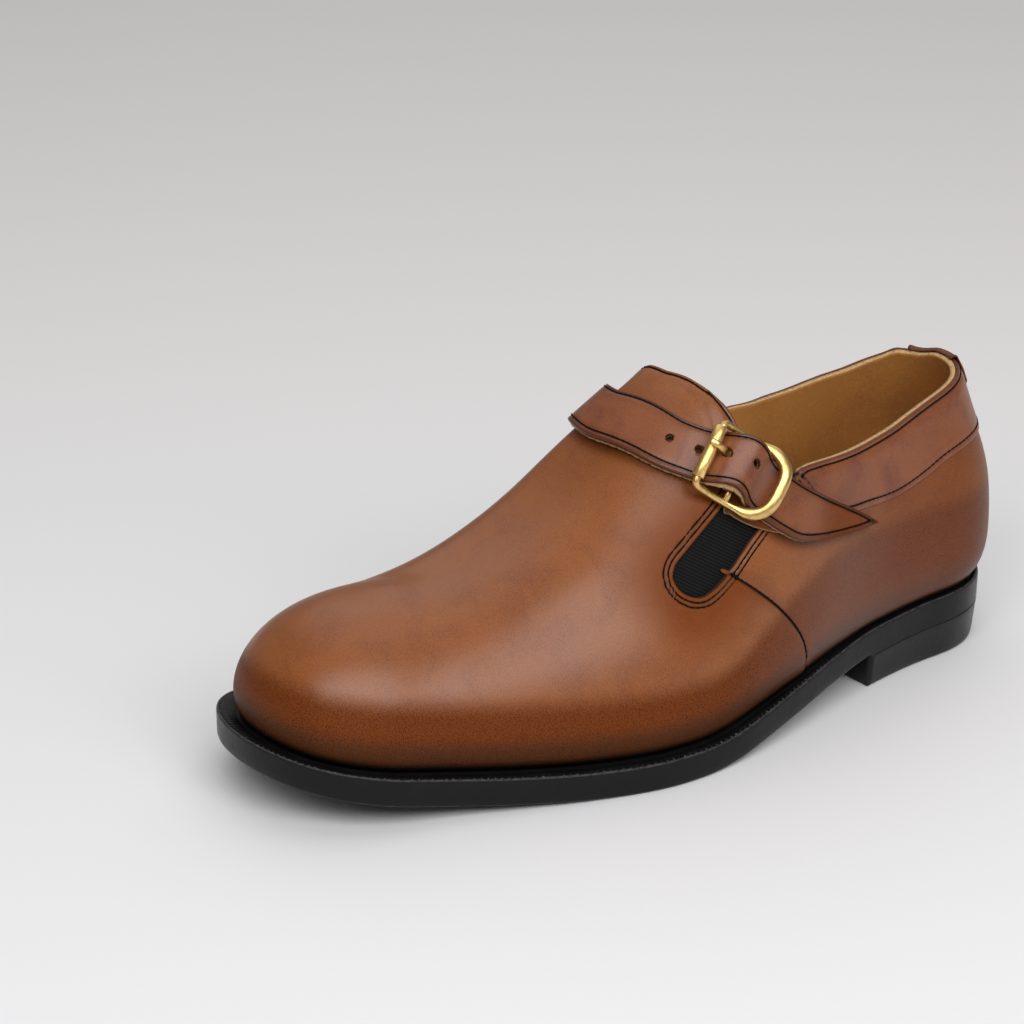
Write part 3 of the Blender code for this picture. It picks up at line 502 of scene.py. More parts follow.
class Half:
    """One side of the upper as four grids of (u, v) that share their borders.

    The vamp runs from the toe to the tip of the slot, the cheek from there to the side seam,
    the quarter from the seam to the heel back, and the tongue from the tip up to the ridge.
    """

    def __init__(self, side, fine=1.0):
        self.side = side
        tip_u, tip_v = TIP[side]
        n = lambda count: max(4, int(round(count * fine)))
        rows = ease(n(42), 0.66)
        rise = both_ends(n(58), 0.6)
        high = tip_v + (1 - tip_v) * rise
        last = tip_u + (TIP_MID[0] - tip_u) * smooth(rise)
        reach = np.concatenate([np.full(len(rows), tip_u), last[1:]])
        q = ease(n(92), 0.66)[:, None]
        middle = TIP_MID[1] + (tip_v - TIP_MID[1]) * smooth(q)
        self.vamp = reach * q, np.concatenate([rows * middle, middle + (1 - middle) * rise[1:]], 1)

        seam_u, seam_v = find_uv(SEAM[:, 0], SEAM[:, 1], side)
        order = np.argsort(seam_v)
        seam_u, seam_v = seam_u[order], seam_v[order]
        top = self.slot_low(seam_u)
        share = seam_v / top
        seam_u = curve(rows, share, seam_u)
        self.seam_v = rows * self.slot_low(seam_u)
        self.seam_u = seam_u
        self.seam_v[-1] = self.slot_low(seam_u[-1:])[0]

        s = ease(n(34), 0.0)
        u = tip_u + (seam_u[None, :] - tip_u) * (0.5 - 0.5 * np.cos(np.pi * s))[:, None]
        self.cheek = self.under(u, rows, tip_v)
        s = ease(n(88), -0.75)
        u = seam_u[None, :] + (1 - seam_u[None, :]) * s[:, None]
        self.quarter = self.under(u, rows)

        reach = self.slot_high(high)
        s = ease(n(30), 0.55)
        u = last + (reach[None, :] - last) * s[:, None]
        self.tongue = u, np.broadcast_to(high, u.shape)
        self.edge = [np.concatenate([self.tongue[k][-1, ::-1], self.cheek[k][1:, -1], self.quarter[k][1:, -1]])
                     for k in (0, 1)]
        self.edge_path = skin_point(*self.edge, side)
        self.seam_path = skin_point(self.seam_u, self.seam_v, side)

    def under(self, u, rows, tip_v=None):
        """Grid below the slot and the topline: v is the row's share of the height there."""
        flat = self.slot_low(u.ravel()).reshape(u.shape)
        if tip_v is not None:
            flat[0] = tip_v
        return u, flat * rows[None, :]

    def slot_low(self, u):
        """Value v of the lower edge of the slot and of the topline above each u."""
        tip_u, tip_v = TIP[self.side]
        grid = np.unique(np.concatenate([tip_u + (1 - tip_u) * ease(160, -0.9), tip_u + 0.02 * ease(40, -0.95)]))
        if not hasattr(self, "low_table"):
            make = lambda v, k: skin_point(grid[k], v, self.side)
            table = first_entry(np.full(len(grid), 0.1), np.full(len(grid), 1.0), make, self.side)
            table[grid <= tip_u + 1e-9] = tip_v
            table += (HEEL_TOP.setdefault("v", table[-1]) - table[-1]) * smooth((grid - 0.94) / 0.06)
            self.low_table = table
        return np.interp(u, grid, self.low_table)

    def slot_high(self, v):
        """Value u of the upper edge of the slot and of the edge of the tongue at each v."""
        tip_u, tip_v = TIP[self.side]
        make = lambda u, k: skin_point(u, v[k], self.side)
        reach = first_entry(np.full(len(v), tip_u - 1e-4), np.full(len(v), 0.6), make, self.side)
        reach[v <= tip_v + 1e-9] = tip_u
        pull = smooth((v - 0.88) / 0.12)
        return reach + (RIDGE_END - reach) * pull

    def patches(self):
        """The four grids of (u, v)."""
        return [self.vamp, self.cheek, self.quarter, self.tongue]


HALVES = {side: Half(side) for side in (1, -1)}


# ---------------------------------------------------------------- meshes

def distance_to(p, path, chunk=4000):
    """Distance of each point to the nearest piece of a path, and the share along that path."""
    a, d = path[:-1], np.diff(path, axis=0)
    dd = np.maximum((d * d).sum(1), 1e-12)
    run = lengths(path)
    out, where = np.empty(len(p)), np.empty(len(p))
    for i in range(0, len(p), chunk):
        r = p[i:i + chunk, None, :] - a[None]
        q = np.clip((r * d).sum(2) / dd, 0, 1)
        gap = np.linalg.norm(r - q[..., None] * d, axis=2)
        k = gap.argmin(1)
        rows = np.arange(len(k))
        out[i:i + chunk] = gap[rows, k]
        where[i:i + chunk] = (run[k] + q[rows, k] * (run[k + 1] - run[k])) / run[-1]
    return out, where


def quads(n, m, flip=False, wrap_rows=False, wrap_cols=False):
    """Faces of a grid of n rows and m columns, wrapping round where asked."""
    i = np.arange(n if wrap_rows else n - 1)[:, None]
    j = np.arange(m if wrap_cols else m - 1)[None, :]
    i2, j2 = (i + 1) % n, (j + 1) % m
    faces = np.stack(np.broadcast_arrays(i * m + j, i2 * m + j, i2 * m + j2, i * m + j2), -1).reshape(-1, 4)
    return faces[:, ::-1] if flip else faces


def strip_cap(base, count, flip=False):
    """Faces closing a loop of an even number of points with strips across it."""
    i = np.arange(count // 2)
    faces = base + np.stack([i, i + 1, (count - i - 1) % count, (count - i) % count], -1)
    return faces[:, ::-1] if flip else faces


class Shape:
    """Points, faces, float attributes and material numbers gathered into one mesh."""

    def __init__(self):
        self.points, self.faces, self.values, self.kinds, self.count = [], [], {}, [], 0

    def add(self, points, faces, kind=0, **values):
        """Adds points (n, 3) with faces that count from its first point; returns that first point."""
        points = np.asarray(points, float).reshape(-1, 3)
        start = self.count
        for name in values:
            self.values.setdefault(name, [np.zeros(start)])
        for name, rows in self.values.items():
            rows.append(np.broadcast_to(np.asarray(values.get(name, 0.0), float).ravel(), (len(points),)))
        self.points.append(points)
        faces = [tuple(dict.fromkeys(f)) for f in (np.asarray(faces) + start).tolist()]
        faces = [f for f in faces if len(f) > 2]
        self.faces += faces
        self.kinds += [kind] * len(faces)
        self.count += len(points)
        return start

    def join(self, faces, kind=0):
        """Adds faces over points that are already there."""
        self.add(np.zeros((0, 3)), faces - self.count, kind)

    def mesh(self, name, weld=1e-3, outward=True):
        """The Blender mesh in metres in the shared frame, doubles merged and faces turned outward."""
        points = np.concatenate(self.points)
        me = bpy.data.meshes.new(name)
        me.from_pydata(((points + SHIFT) * MM).tolist(), [], self.faces)
        me.polygons.foreach_set("material_index", np.array(self.kinds, np.int32))
        for key, rows in self.values.items():
            data = me.attributes.new(key, "FLOAT", "POINT").data
            data.foreach_set("value", np.concatenate(rows).astype(np.float32))
        bm = bmesh.new()
        bm.from_mesh(me)
        bmesh.ops.remove_doubles(bm, verts=bm.verts, dist=weld * MM)
        bmesh.ops.dissolve_degenerate(bm, edges=bm.edges, dist=1e-8)
        if outward:
            bmesh.ops.recalc_face_normals(bm, faces=bm.faces)
        loose = [v for v in bm.verts if not v.link_faces]
        bmesh.ops.delete(bm, geom=loose, context="VERTS")
        bm.to_mesh(me)
        bm.free()
        me.polygons.foreach_set("use_smooth", np.ones(len(me.polygons), bool))
        me.update()
        return me


def piece(name, me, finishes, nodes=()):
    """A finished piece: linked, riding on the shoe, with its finishes and replaced nodes."""
    ob = bpy.data.objects.new(name, me)
    bpy.context.scene.collection.objects.link(ob)
    me.materials.clear()
    for m in finishes:
        me.materials.append(m)
    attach(ob, "root")
    if nodes:
        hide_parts(*nodes)
    return ob


def vertex_data(me):
    """Points, normals and float attributes of a mesh as arrays, points in metres."""
    n = len(me.vertices)
    co, no = np.empty(n * 3, np.float32), np.empty(n * 3, np.float32)
    me.vertices.foreach_get("co", co)
    me.vertices.foreach_get("normal", no)
    values = {}
    for a in me.attributes:
        if a.domain == "POINT" and a.data_type == "FLOAT":
            values[a.name] = np.empty(n, np.float32)
            a.data.foreach_get("value", values[a.name])
    return co.reshape(-1, 3).astype(float), no.reshape(-1, 3).astype(float), values


def store(me, name, values):
    """Writes a float attribute on the points of a mesh."""
    me.attributes.new(name, "FLOAT", "POINT").data.foreach_set("value", np.asarray(values, np.float32))


def displace(me, height):
    """Moves each point along its normal by height millimetres."""
    co, no, _values = vertex_data(me)
    co += no * (np.asarray(height) * MM)[:, None]
    me.vertices.foreach_set("co", co.astype(np.float32).ravel())
    me.update()


def thicken(ob, depth, rim=0):
    """Solidify modifier: a wall of depth millimetres inward from the skin."""
    mod = ob.modifiers.new("wall", "SOLIDIFY")
    mod.thickness = depth * MM
    mod.offset = -1.0
    mod.use_even_offset = False
    mod.material_offset_rim = rim
    mod.material_offset = 0


def tube(path, normal, profile, closed=False):
    """Rings of a profile (across, out) carried along a path; returns points (n, m, 3)."""
    d = (np.roll(path, -1, 0) - np.roll(path, 1, 0)) if closed else np.gradient(path, axis=0)
    tangent = unit(d)
    across = unit(np.cross(normal, tangent))
    out = np.cross(tangent, across)
    profile = np.broadcast_to(profile, (len(path),) + np.shape(profile)[-2:])
    return path[:, None] + profile[..., :1] * across[:, None] + profile[..., 1:] * out[:, None]


def stitches(shape, path, normal, pitch, length, radius, sink=0.12, rows=5, sides=6):
    """Adds separate stitches along a path: capsules whose ends dive into a dark bed that runs on below them, a
    strip of painted shade for the groove the thread is pulled into.

    Each is a ring profile of radius r * sqrt(1 - q^4) at q from -1 to 1, its middle raised above its ends.
    """
    path, normal = resample(path, 0.5, normal)
    d = lengths(path)
    k = np.arange(0, len(path), 2)
    if len(k) > 4:
        # The bed: a dark strip of painted shade along the row, under the stitches.
        bed = np.array([[-0.26, 0.0], [0.0, 0.15], [0.26, 0.0], [0.0, -0.3]])
        add_tube(shape, tube(path[k], normal[k], bed))
    count = max(1, int(d[-1] / pitch))
    mid = (np.arange(count) + 0.5) * d[-1] / count
    q = np.linspace(-1, 1, rows)
    at = mid[:, None] + q * length / 2
    pick = lambda a: np.stack([np.interp(at, d, a[:, k]) for k in range(3)], -1)
    c, n = pick(path), unit(pick(normal))
    t = unit(pick(np.gradient(path, axis=0)))
    b = unit(np.cross(n, t))
    n = np.cross(t, b)
    r = radius * np.array([0.35] + [1.0] * (rows - 2) + [0.35])
    c = c + n * (radius * 0.35 - sink * 2.2 * np.abs(q) ** 3)[None, :, None]
    w = circle(sides)
    ring = b[:, :, None] * np.cos(w)[:, None] + n[:, :, None] * np.sin(w)[:, None]
    points = c[:, :, None] + ring * r[None, :, None, None]
    one = quads(rows, sides, wrap_cols=True)
    ends = [np.stack([np.full(sides - 2, s), s + np.arange(1, sides - 1), s + np.arange(2, sides)], -1)
            for s in (0, (rows - 1) * sides)]
    size = rows * sides
    offset = np.arange(count)[:, None, None] * size
    start = shape.add(points, (one[None] + offset).reshape(-1, 4))
    for cap in ends:
        shape.join((cap[None] + offset).reshape(-1, 3) + start)


# ---------------------------------------------------------------- finishes

def plain(value):
    """A node input value with an alpha added to a colour."""
    return (*value, 1.0) if isinstance(value, (tuple, list)) and len(value) == 3 else value


class Wire:
    """A node output whose arithmetic adds Math nodes."""

    def __init__(self, finish, out):
        self.finish, self.out = finish, out

    def op(self, name, *others):
        """The named Math node of this value and the others."""
        return self.finish.node("Math", {"operation": name}, [self, *others])

    def __add__(self, other): return self.op("ADD", other)
    def __sub__(self, other): return self.op("SUBTRACT", other)
    def __mul__(self, other): return self.op("MULTIPLY", other)
    def __rsub__(self, other): return self.finish.node("Math", {"operation": "SUBTRACT"}, [other, self])
    __radd__, __rmul__ = __add__, __mul__

    def ramp(self, low, high):
        """0 at low, 1 at high, with level ends."""
        return self.finish.node("MapRange", {"interpolation_type": "SMOOTHSTEP", "clamp": True},
                                {"Value": self, "From Min": low, "From Max": high})


class Finish:
    """One node material: a Principled shader with the helpers its nodes are written in."""

    def __init__(self, name, **sockets):
        self.material = bpy.data.materials.new(name)
        self.material.use_nodes = True
        self.tree = self.material.node_tree
        self.shader = self.tree.nodes["Principled BSDF"]
        for key, value in sockets.items():
            self.shader.inputs[key.replace("_", " ")].default_value = plain(value)
        colour = sockets.get("Base_Color")
        if colour:
            self.material.diffuse_color = (*colour, 1.0)

    def node(self, kind, settings=None, inputs=None, output=0):
        """Adds a shader node of the kind, its settings first, then its inputs by name or order."""
        n = self.tree.nodes.new("ShaderNode" + kind)
        for key, value in (settings or {}).items():
            setattr(n, key, value)
        pairs = inputs.items() if isinstance(inputs, dict) else enumerate(inputs or [])
        for key, value in pairs:
            if isinstance(value, Wire):
                self.tree.links.new(value.out, n.inputs[key])
            else:
                n.inputs[key].default_value = plain(value)
        return Wire(self, n.outputs[output])

    def place(self):
        """Object coordinates."""
        return self.node("TexCoord", output=3)

    def axis(self, k):
        """Object coordinate k: 0 across, 1 along, 2 up."""
        return self.node("SeparateXYZ", {}, [self.place()], k)

    def value(self, name):
        """The piece's own float attribute of that name."""
        return self.node("Attribute", {"attribute_name": name}, output=2)

    def noise(self, scale, detail, rough, distort=0.0):
        """Soft noise, 0 to 1."""
        return self.node("TexNoise", {}, {"Vector": self.place(), "Scale": scale, "Detail": detail,
                                          "Roughness": rough, "Distortion": distort})

    def cells(self, scale):
        """Distance to the nearest of scattered points."""
        return self.node("TexVoronoi", {}, {"Vector": self.place(), "Scale": scale})

    def mix(self, factor, a, b):
        """Colour a to b by the factor."""
        settings = {"data_type": "RGBA", "blend_type": "MIX", "clamp_factor": True}
        return self.node("Mix", settings, {0: factor, 6: a, 7: b}, output=2)

    def bumps(self, *layers):
        """Bump nodes one after another, each (height, depth in mm)."""
        wire = None
        for height, depth in layers:
            inputs = {"Height": height, "Distance": depth * MM, "Strength": 1.0}
            if wire:
                inputs["Normal"] = wire
            wire = self.node("Bump", {}, inputs)
        return wire

    def wear(self, **sockets):
        """Links wires to the shader's sockets."""
        for key, wire in sockets.items():
            self.tree.links.new(wire.out, self.shader.inputs[key.replace("_", " ")])
        return self.material


def shade(colour, factor):
    """Colour times a factor."""
    return tuple(float(c) * factor for c in colour)


# ---------------------------------------------------------------- upper

SLOT_ROWS = (1.75, 3.35)
TONGUE_ROW = 1.3
BAND_ROWS = (1.6, 2.4)
BAND = np.array([
    # y, z of the lower edge of the collar band
    [36.5, 82.5], [44, 73.0], [55, 67.4], [69.5, 66.0], [86.2, 66.0], [100, 69.2],
    [110.3, 72.8], [122, 75.2], [130.4, 76.0], [135, 76.3]], float)


TAB_MIDDLE = -1.5
TAB_HALF = 10.8
TAB_DEPTH = 9.5


def edge_masks(half, where):
    """How much each point belongs to the tongue and to the slot, from the nearest point of the edge."""
    run = lengths(half.edge_path)
    y, z = (np.interp(where * run[-1], run, half.edge_path[:, k]) for k in (1, 2))
    tongue = smooth((z - 82) / 4) * smooth((30 - y) / 4)
    slot = smooth((86 - z) / 4) * smooth((38 - y) / 3)
    return tongue, slot


def rounded(distance, radius):
    """Quarter circle from 0 at the edge to 1 at the radius."""
    return np.sqrt(1 - (1 - np.clip(distance / radius, 0, 1)) ** 2)


def groove(distance, centre, width):
    """Bell of height 1 at the centre."""
    return np.exp(-((distance - centre) / width) ** 2)


def sewn_rows(distance, *rows):
    """Bells of height 1 on the stitch rows, each (distance from the edge, half width)."""
    return sum(groove(distance, at, width) for at, width in rows)


def upper_sewn(rim, slot, tongue):
    """Where thread runs on the upper: two rows round the slot, one round the tongue."""
    return slot * sewn_rows(rim, *[(d, 0.36) for d in SLOT_ROWS]) + tongue * sewn_rows(rim, (TONGUE_ROW, 0.4))


def upper_relief(rim, seam, slot, tongue, foot):
    """Height of the leather: rounded edge, sewn grooves beside the slot, rolled side seam."""
    h = -0.55 * (1 - rounded(rim, 0.7))
    h += slot * (0.24 * groove(rim, sum(SLOT_ROWS) / 2, 0.6) + 0.12 * groove(rim, 0.9, 0.6))
    h -= 0.34 * upper_sewn(rim, slot, tongue)
    vamp = 0.55 * rounded(seam, 2.2) * np.exp(-(np.maximum(seam, 0) / 8) ** 2)
    h += np.where(seam > 0, vamp, 0) - 0.5 * np.exp(-(seam / 0.7) ** 2)
    return h - 0.35 * np.exp(-np.maximum(foot, 0) / 1.2)


def upper_mesh(halves):
    """Skin of the upper welded from its eight grids, with its distances as attributes."""
    shape = Shape()
    for side, half in halves.items():
        for k, (u, v) in enumerate(half.patches()):
            p = skin_point(u.ravel(), v.ravel(), side)
            rim, where = distance_to(p, half.edge_path)
            seam, _where = distance_to(p, half.seam_path)
            tongue, slot = edge_masks(half, where)
            foot = p[:, 2] - sole_z(p[:, 1]) - SOLE_T
            values = dict(rim=rim, seam=seam * (-1 if k == 2 else 1), foot=foot)
            values.update(slot=slot, tongue=tongue)
            shape.add(p, quads(*u.shape, flip=side < 0), **values)
    return shape.mesh("skin", weld=0.02, outward=False)


def offset_line(side, u, v, distance, lift=0.3):
    """Line on the skin at a distance from another one, walked square to it; with its normals."""
    for _ in range(3):
        p, _pu, _pv, n = surface_frame(u, v, side)
        t = unit(np.gradient(p, axis=0))
        inward = np.cross(t, n) * side
        u, v = walk(u, v, side, inward * (distance / 3))
    p, _pu, _pv, n = surface_frame(u, v, side)
    return p + n * lift, n


def edge_uv(half, step=1.0):
    """Values (u, v) of the cut edge at even steps of arc length."""
    d = lengths(half.edge_path)
    q = np.linspace(0, d[-1], int(d[-1] / step))
    return np.interp(q, d, half.edge[0]), np.interp(q, d, half.edge[1])


def band_low(side):
    """Function giving the value v of the lower edge of the collar band at each u."""
    line = along(BAND, 60)
    if side < 0:
        line[:, 1] -= curve(line[:, 0], MEDIAL_DROP[:, 0], MEDIAL_DROP[:, 1])
    u, v = find_uv(line[:, 0], line[:, 1], side)
    order = np.argsort(u)
    rise = HEEL_TOP.setdefault("band", v[order][-1]) - v[order][-1]
    v = v[order] + rise * smooth((u[order] - 0.9) / 0.08)
    return u[order[0]], lambda q: np.interp(q, u[order], v)


def band_mesh(lift):
    """Collar band: grids from its lower edge up to the topline, both sides welded at the back."""
    shape = Shape()
    for side, half in HALVES.items():
        start, low = band_low(side)
        u = start + (1 - start) * ease(110, -0.3)
        top, bottom = half.slot_low(u), low(u)
        s = both_ends(26, 0.75)
        uu = np.repeat(u[:, None], len(s), 1)
        vv = bottom[:, None] + (top - bottom)[:, None] * s
        p = skin_point(uu.ravel(), vv.ravel(), side)
        rim, _w = distance_to(p, half.edge_path)
        hem, _w = distance_to(p, skin_point(u, bottom, side))
        shape.add(p, quads(*uu.shape, flip=side < 0), rim=rim, hem=hem)
    me = shape.mesh("band", weld=0.02, outward=False)
    _co, _no, v = vertex_data(me)
    displace(me, band_height(lift, v["rim"], v["hem"]))
    store(me, "sewn", sewn_rows(v["rim"], (BAND_ROWS[0], 0.4)) + sewn_rows(v["hem"], (BAND_ROWS[1], 0.4)))
    return me


def band_height(lift, rim, hem, sewn=True):
    """Height of the collar band: skived thin towards the topline, its hem rounded, rows pressed in."""
    h = lift * (0.3 + 0.7 * smooth(rim / 5)) - 0.7 * (1 - rounded(hem, 0.9)) - 0.25 * (1 - rounded(rim, 0.7))
    return h - (0.28 * (groove(rim, BAND_ROWS[0], 0.4) + groove(hem, BAND_ROWS[1], 0.4)) if sewn else 0)


def tab_mesh(lift):
    """Tab on the outside of the back edge, and the bar of thread across its foot.

    Each column runs up the outside on the skin and turns over the edge of the skin on a half ellipse.
    """
    x = TAB_MIDDLE + np.linspace(-TAB_HALF, TAB_HALF, 45)
    u, v = np.empty(len(x)), np.empty(len(x))
    for side, half in HALVES.items():
        q = np.linspace(0.86, 1.0, 300)
        top = half.slot_low(q)
        at = skin_point(q, top, side)[:, 0]
        on = (x * side >= 0)
        u[on] = np.interp(x[on] * side, (at * side)[::-1], q[::-1])
        v[on] = np.interp(u[on], q, top)
    down = np.linspace(TAB_DEPTH, 0, 14)
    parts = []
    shape, tack = Shape(), Shape()
    ends = TAB_HALF - np.abs(x - TAB_MIDDLE)
    end = 0.35 * np.exp(-((ends - 0.6) / 0.9) ** 2)
    sides = np.where(x < 0, -1, 1)

    def column(i, q, h):
        """Points h above the skin at the distances q below the edge, on column i."""
        uu, vv = np.full(len(q), u[i]), np.full(len(q), v[i])
        _p, _pu, pv, _n = surface_frame(uu, vv, sides[i])
        p, _pu, pv, n = surface_frame(uu, vv - q / np.linalg.norm(pv, axis=1), sides[i])
        return p + n * np.reshape(h, (-1, 1)), unit(pv), n

    a = np.linspace(0, np.pi, 11)[1:-1]
    for i in range(len(x)):
        out = lift * (0.3 + 0.7 * smooth(down / 5)) + 0.55 * rounded(TAB_DEPTH - down, 0.8) + end[i]
        outside, _t, _n = column(i, down, out)
        foot, rise, n = column(i, np.zeros(1), np.zeros(1))
        mid, r = (out[-1] - 0.9) / 2, (out[-1] + 0.9) / 2
        over = foot + n * (mid + r * np.cos(a))[:, None] + rise * ((0.35 + end[i]) * np.sin(a))[:, None]
        parts.append(np.concatenate([outside, over]))
    grid = np.stack(parts)
    rim = np.repeat(ends, grid.shape[1])
    hem = np.tile(np.concatenate([TAB_DEPTH - down, np.full(len(a), TAB_DEPTH)]), len(x))
    fold = np.tile(np.concatenate([down, np.zeros(len(a))]), len(x))
    shape.add(grid, quads(*grid.shape[:2]), rim=rim, hem=hem, fold=fold)
    k = np.flatnonzero(np.abs(x) < 4)
    line = np.stack([column(i, np.array([TAB_DEPTH - 0.2]), np.array([lift + 0.55]))[0][0] for i in k])
    n = np.stack([column(i, np.array([TAB_DEPTH]), np.array([0.0]))[2][0] for i in k])
    stitches(tack, line, n, 7.0, 7.0, 0.5)
    return shape.mesh("tab", outward=False), tack.mesh("tack")


def nib_mesh():
    """Ends of the side seams that reach into the slots: short flat strips below the edge."""
    shape = Shape()
    for side, half in HALVES.items():
        line, n = offset_line(side, half.seam_u, half.seam_v, 0.0, 0.0)
        k = 0 if line[0, 2] > line[-1, 2] else -1
        way = unit(line[k] - line[3 if k == 0 else -4])
        path = line[k] - n[k] * 0.75 + way * np.linspace(-1.0, 2.8, 6)[:, None]
        half_w = np.array([0.7, 0.7, 0.7, 0.65, 0.55, 0.3])
        ring = np.array([[-1, -0.3], [1, -0.3], [1, 0.3], [-1, 0.3]])
        profile = ring * np.stack([half_w, np.ones(6)], -1)[:, None]
        add_tube(shape, tube(path, np.broadcast_to(n[k], path.shape), profile), layer=1.0)
    return shape.mesh("nib")


GORE_FROM = -8.6
GORE_TO = 31.0
GORE_SHEAR = 0.44
GORE_HALF = 9.9
GORE_TOP = 1.45
GORE_LOW = 2.1


def gore_mesh(side, pitch, height):
    """Elastic panel: a ribbed sheet on a sheared grid behind the slot, its rib height a raised cosine."""
    rib, up = np.array([0.85, -0.527]), np.array([0.527, 0.85])
    a = np.arange(GORE_FROM, GORE_TO, pitch / 8)
    q = np.linspace(-1, 1, 15)
    aa, qq = np.meshgrid(a, q, indexing="ij")
    b = GORE_SHEAR * np.maximum(aa, 0) + qq * GORE_HALF
    y = SLOT_FOOT[0] + aa * up[0] + b * rib[0]
    z = SLOT_FOOT[1] + aa * up[1] + b * rib[1]
    u, v = find_uv(y.ravel(), z.ravel(), side)
    p, _pu, _pv, n = surface_frame(u, v, side)
    wave = 0.5 + 0.5 * np.cos(2 * np.pi * aa.ravel() / pitch)
    top = p - n * (GORE_TOP - height * wave[:, None] ** 0.7)
    low = p - n * GORE_LOW
    shape = Shape()
    rows, cols = aa.shape
    faces = quads(rows, cols)
    shape.add(np.concatenate([top, low]), np.concatenate([faces, faces[:, ::-1] + rows * cols]),
              rib=np.concatenate([wave, wave * 0]))
    k = np.arange(rows * cols).reshape(rows, cols)
    rim = np.concatenate([k[0, :], k[1:, -1], k[-1, -2::-1], k[-2:0:-1, 0]])
    nxt = np.roll(rim, -1)
    shape.join(np.stack([rim, nxt, nxt + rows * cols, rim + rows * cols], -1))
    return shape.mesh("gore")


# ---------------------------------------------------------------- strap and buckle

STRAP_W = 16.8
STRAP_T = 2.6
CHAPE_W = 13.0
CHAPE_T = 1.6
CHAPE_SLOT = 5.6
FRAME_HALF_W = 11.0
FRAME_FRONT = -13.2
FRAME_BACK = 12.8
ROD_R = 1.2
CRESCENT_R = 1.9
CENTRE_BAR = -0.5
CENTRE_H = 4.7
FRAME_BOW = 2.8
CRESCENT_BOW = 4.5
ROLLER_R = 2.05
ROLLER_BORE = 1.6
ROLLER_L = 17.8
ROLLER_SHIFT = 0.4
EYE_R = 2.2
BUCKLE_FOOT = (33.1, 13.3, 89.2)
STRAP_SIDE = 2.7
SIDE_SPAN = 6.0
STRAP_ROLL = 8.0
ROLL_SPAN = 14.0

STRAP_GUIDE = np.array([
    # x, y, z
    [-24.0, 41.5, 79.0], [-24.2, 30.0, 82.5], [-23.5, 18.0, 87.5], [-20.5, 7.1, 93.0],
    [-15.5, -1.4, 96.2], [-8.0, -6.5, 98.2], [1.5, -7.3, 99.6], [11.7, -5.1, 99.2],
    [19.9, -1.9, 96.5], [25.6, 6.3, 92.6], [31.8, 17.0, 85.6], [38.0, 29.0, 75.8],
    [39.3, 40.0, 69.3], [38.6, 53.3, 61.6], [37.3, 63.4, 55.0]], float)
STRAP_RISE = np.array([
    # d, height
    [-110, 1.9], [-75, 2.3], [-58, 3.4], [-42, 3.4], [-30, 2.9], [-18, 3.1], [-13, 3.5], [-9, 5.7],
    [-5.2, 9.0], [-1.5, 10.5], [2, 9.8], [5.5, 6.6], [9, 4.1], [13, 4.0], [17, 4.0], [25, 3.8], [36, 3.2],
    [52, 4.6]], float)
STRAP_TIP = np.array([
    # left, lower_edge
    [0, -8.2], [9.8, -2.0], [24, 5.2], [34, 8.6], [42, 8.9]], float)
CHAPE_LOW = np.array([
    # d, how far the part under the buckle reaches towards the lower rod
    [-2.2, 6.9], [0.2, 7.4], [1.6, 11.8], [5, 12.5], [10, 12.4], [14, 11.6], [18, 10.2], [26, 7.0]], float)
CHAPE_PATH = np.array([
    # d, height
    [26, 1.25], [14, 1.5], [5, 1.8], [1.5, 2.0], [-0.5, 2.2], [-2.3, 3.0], [-2.9, 4.7],
    [-2.3, 6.4], [-0.5, 7.15], [1.6, 6.6], [3.6, 4.9], [5.6, 3.6]], float)
PRONG_PATH = np.array([
    # d, height
    [-2.4, 4.7], [-5.2, 5.2], [-7.7, 7.2], [-10.4, 9.8], [-13.2, 11.0], [-15.5, 10.6]], float)


def strap_line(count=120):
    """Middle line of the strap on the upper: feet, along, across and outward directions, run."""
    guide = along(STRAP_GUIDE, count)
    u, v = np.meshgrid(np.linspace(0.2, 0.9, 160), np.linspace(0.15, 1, 70), indexing="ij")
    cloud, normals = [], []
    for side in (1, -1):
        p = last_point(u.ravel(), v.ravel(), side).reshape(u.shape + (3,))
        n = unit(np.cross(np.gradient(p, axis=0), np.gradient(p, axis=1)) * side)
        cloud.append(p.reshape(-1, 3))
        normals.append(n.reshape(-1, 3))
    cloud, normals = np.concatenate(cloud), np.concatenate(normals)
    gap = np.linalg.norm(cloud[None] - guide[:, None], axis=2)
    near = np.argsort(gap, axis=1)[:, :24]
    out = unit(normals[near].mean(1))
    foot = guide - out * ((guide - cloud[near[:, 0]]) * normals[near[:, 0]]).sum(1)[:, None]
    k = max(2, count // 24)
    kernel = np.hanning(2 * k + 3)[1:-1]
    kernel /= kernel.sum()

    def soften(a):
        a = np.concatenate([2 * a[:1] - a[k:0:-1], a, 2 * a[-1:] - a[-2:-k - 2:-1]])
        return np.stack([np.convolve(a[:, j], kernel, "valid") for j in range(3)], -1)

    foot, out = soften(foot), soften(out)
    tangent = unit(np.gradient(foot, axis=0))
    across = unit(np.cross(out, tangent))
    across *= np.sign(across[:, 2].mean())
    out = np.cross(across, tangent)
    out *= np.sign((out * (foot - [0, 40, 60])).sum(1).mean())
    s = lengths(foot)
    to = np.array(BUCKLE_FOOT) - foot
    i = int(np.argmin(np.linalg.norm(to, axis=1)))
    d = s - s[i] - to[i] @ tangent[i]
    roll = np.radians(STRAP_ROLL) * np.exp(-(d / ROLL_SPAN) ** 2)[:, None]
    turned = across * np.cos(roll) + out * np.sin(roll)
    out = out * np.cos(roll) - across * np.sin(roll)
    return foot, tangent, turned, out, d


def strap_at(d):
    """Foot, along, across and outward directions at distances along the strap from the buckle."""
    return [np.stack([np.interp(d, STRAP[4], a[:, k]) for k in range(3)], -1) for a in STRAP[:4]]


STRAP = strap_line()
STRAP_START, STRAP_END = STRAP[4][0], STRAP[4][-1]
BUCKLE = [a[0] for a in strap_at(np.zeros(1))]


